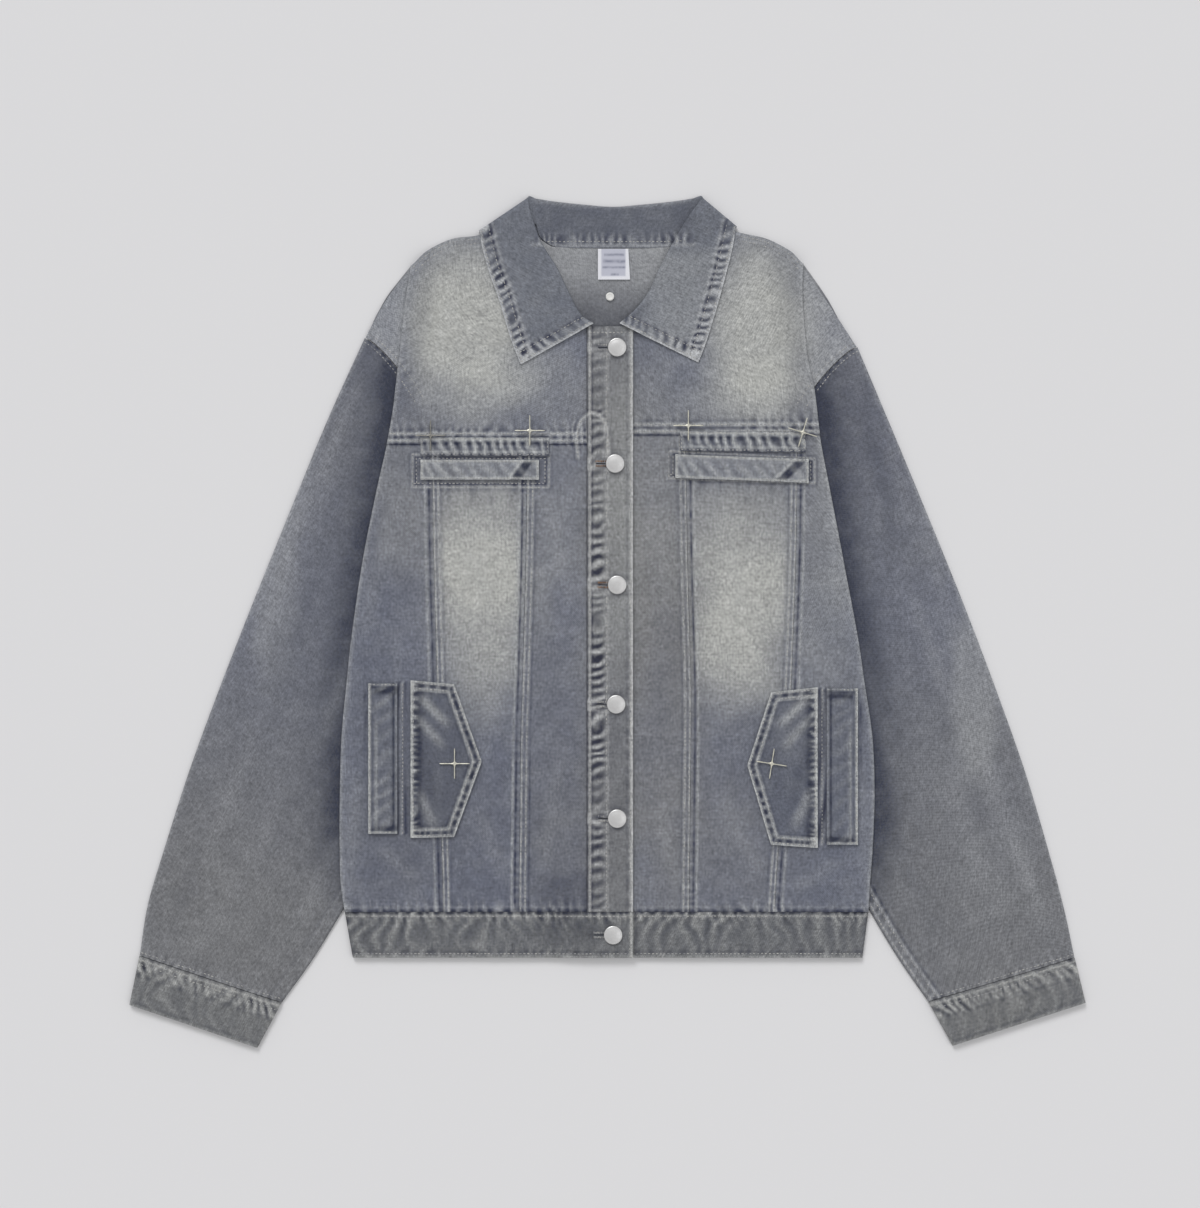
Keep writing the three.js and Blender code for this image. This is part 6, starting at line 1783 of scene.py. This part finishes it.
low, edge = BUTTON_CAP["low"] * MM, BUTTON_CAP["edge"] * MM
button = start_primitive(bpy.ops.mesh.primitive_cylinder_add, vertices=48, radius=BUTTON_CAP["radius"] * MM,
                         depth=edge, location=(0, 0, low + edge / 2))
pick_faces(button, lambda middle, normal: normal.z > 0.9)
for inward, up in CAP_STEPS:
    bpy.ops.mesh.inset(thickness=inward * MM, depth=up * MM)
pick_faces(button, lambda middle, normal: normal.z < -0.9)
bpy.ops.mesh.inset(thickness=(BUTTON_CAP["radius"] - BUTTON_SHANK["radius"]) * MM)
bpy.ops.mesh.extrude_region_move(TRANSFORM_OT_translate={"value": (0, 0, -BUTTON_SHANK["length"] * MM)})
finish_primitive(button, bevel=0.22)
button.data.materials.append(metal("satin_silver", (228, 228, 229), (166, 165, 163), 0.5))
for number, (x, y) in enumerate(BUTTON_SPOTS):
    on_band = number == len(BUTTON_SPOTS) - 1
    top = (BAND_FRONT_Z + 2 if on_band else PLACKET["z"]) + DOUBLED / 2
    copy_to(button, "tack_button_%d" % (number + 1), "button_%d" % (number + 1), (x, y, top), 17 * number)
bpy.data.objects.remove(button)


# The cross studs: six small crosses of cast metal with four slim spindle arms, fixed by prongs through the
# cloth: two on each yoke over the gathered strip, and one at the point of each flap.

STUD_SPOTS = [  # x, y, turn in degrees, thickness of the trim under it
    (-69.8, 172.3, 0, CLOTH), (-158.8, 167.8, 0, CLOTH), (72.5, 176.8, 0, CLOTH),
    (175.1, 170.6, -17, CLOTH), (-137.2, -126.5, 0, DOUBLED), (147.2, -126.5, -9, DOUBLED),
]
STUD_ARM = [(3.6, 0.62), (4.2, 1.75), (3.1, 0.78), (1.25, 0.5)]  # steps out along an arm, and its widening
STUD_THICKNESS = 1.7

stud = start_primitive(bpy.ops.mesh.primitive_cylinder_add, vertices=8, radius=1.9 * MM,
                       depth=STUD_THICKNESS * MM, rotation=(0, 0, math.radians(22.5)))
for quarter in range(4):
    way = Vector((round(math.cos(quarter * math.pi / 2)), round(math.sin(quarter * math.pi / 2)), 0))
    reach = 1.9 * math.cos(math.radians(22.5))
    pick_faces(stud, lambda middle, normal: (middle - way * reach).length < 0.2)
    for out, widening in STUD_ARM:
        reach += out
        bpy.ops.mesh.extrude_region_move(TRANSFORM_OT_translate={"value": way * out * MM})
        across = [widening if abs(part) < 0.5 else 1 for part in way]
        across[2] = widening**0.5
        bpy.ops.transform.resize(value=across, center_override=way * reach * MM)
finish_primitive(stud, levels=2, angle=60)
silver = metal("silver_cream", (222, 220, 208), (176, 173, 158), 0.5)
stud.data.materials.append(silver)
dulled = metal("dulled_cream", (176, 174, 166), (96, 96, 98), 0.95)
for number, (x, y, turned, under) in enumerate(STUD_SPOTS):
    height = float(front_z(np.array(x), np.array(y))) + CLOTH / 2 + LIFT + under + 0.5 + LIFT
    piece = copy_to(stud, "spindle_cross_%d" % (number + 1), "cross_stud_%d" % (number + 1),
                    (x, y, height + STUD_THICKNESS / 2), turned)
    if number == 1:
        piece.data.materials[0] = dulled
bpy.data.objects.remove(stud)


# The neck trims: a woven label sewn under the collar's seam, left without any words, and a small round
# white snap below it. The label is thin cloth with a woven border; the snap is moulded plastic.

LABEL_CLOTH = 1.0
LABEL_AT = {"left": -8.6, "right": 20.2, "low": 308.2, "top": 335.8}
LABEL_BARS = [(-2.5, 14.5, 330.5, 1.1), (-3.5, 15.5, 324.5, 1.6), (-4.0, 16.0, 319.2, 1.0),
              (3.6, 9.6, 312.8, 1.0)]


def label_marks(x, y):
    edge = np.minimum(np.minimum(x - LABEL_AT["left"], LABEL_AT["right"] - 1.0 - x), y - LABEL_AT["low"])
    bars = 0.0
    for x0, x1, bar_y, half in LABEL_BARS:
        inside = smoothstep(x, x0 - 1, x0) * smoothstep(x1 + 1 - x, 0, 1)
        bar = inside * np.exp(-(((y - bar_y) / half) ** 2)) * (0.7 + 0.3 * noise(x, y, 1.6, 190))
        bars = np.maximum(bars, bar)
    ground = smoothstep(edge, 2.4, 3.6)
    return {"relief": 0.12 * noise(x, y, 8, 191) + 0.12 * (1 - ground), "dusty": ground,
            "dark": 0.85 * bars * ground}


def woven_label():
    """A satin-faced label: fine bright threads both ways, a paler border and plain darker bars."""
    material = bpy.data.materials.new("woven_label")
    material.use_nodes = True
    tree = material.node_tree
    shader = tree.nodes["Principled BSDF"]
    yarn = put(tree, "Attribute", attribute_name="yarn").outputs["Vector"]
    threads = put(tree, "TexWave", [("Vector", yarn), ("Scale", 0.9), ("Distortion", 0.6)],
                  bands_direction="Y")
    border = put(tree, "Attribute", attribute_name="dusty").outputs["Fac"]
    bars = put(tree, "Attribute", attribute_name="dark").outputs["Fac"]
    ground = mix_colour(tree, border, srgb(228, 229, 236), srgb(188, 190, 204))
    printed = mix_colour(tree, bars, ground, srgb(98, 102, 124))
    tint = math_node(tree, "MULTIPLY_ADD", threads.outputs["Fac"], 0.12, 0.9)
    shade = put(tree, "VectorMath", [(0, printed), ("Scale", tint)], operation="SCALE")
    tree.links.new(shade.outputs[0], shader.inputs["Base Color"])
    bump = put(tree, "Bump", [("Height", threads.outputs["Fac"]), ("Strength", 0.4), ("Distance", 0.0001)])
    tree.links.new(bump.outputs["Normal"], shader.inputs["Normal"])
    shader.inputs["Roughness"].default_value = 0.6
    return material


u, v = np.meshgrid(np.linspace(0, 1, 40), np.linspace(0, 1, 38), indexing="ij")
x = lerp(LABEL_AT["left"], LABEL_AT["right"] - 1.5 * v, u)
y = lerp(LABEL_AT["low"], LABEL_AT["top"], v)
z = back_z(x, y) + CLOTH / 2 + LIFT + LABEL_CLOTH / 2 + 0.15 * np.sin(np.pi * u) * (1 - v)
label_piece = cloth("woven_neck_label", np.stack([x, y, z], -1), 0.7, label_marks)
label_piece.data.materials.append(woven_label())
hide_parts("neck_label")

snap = start_primitive(bpy.ops.mesh.primitive_cylinder_add, vertices=40, radius=3.8 * MM, depth=1.1 * MM,
                       location=(0, 0, 0.55 * MM))
pick_faces(snap, lambda middle, normal: normal.z > 0.9)
for inward, up in ((0.5, 0.45), (0.7, 0.1), (0.5, -0.35), (0.8, -0.15)):
    bpy.ops.mesh.inset(thickness=inward * MM, depth=up * MM)
finish_primitive(snap, bevel=0.2)
plastic = simple_material("white_snap", srgb(226, 226, 224)[:3], 0.42)
tree = plastic.node_tree
scuffs = put(tree, "TexNoise", [("Vector", put(tree, "TexCoord").outputs["Object"]), ("Scale", 900.0),
                                ("Detail", 3.0)])
scuffed = mix_colour(tree, scuffs.outputs["Fac"], srgb(236, 236, 233), srgb(204, 204, 203))
tree.links.new(scuffed, tree.nodes["Principled BSDF"].inputs["Base Color"])
snap.data.materials.append(plastic)
snap_z = BACK_Z + FALL_RAISE + CLOTH / 2 + 2 * LIFT
copy_to(snap, "round_snap", "neck_stud", (2.2, 292.9, snap_z), 0)
bpy.data.objects.remove(snap)
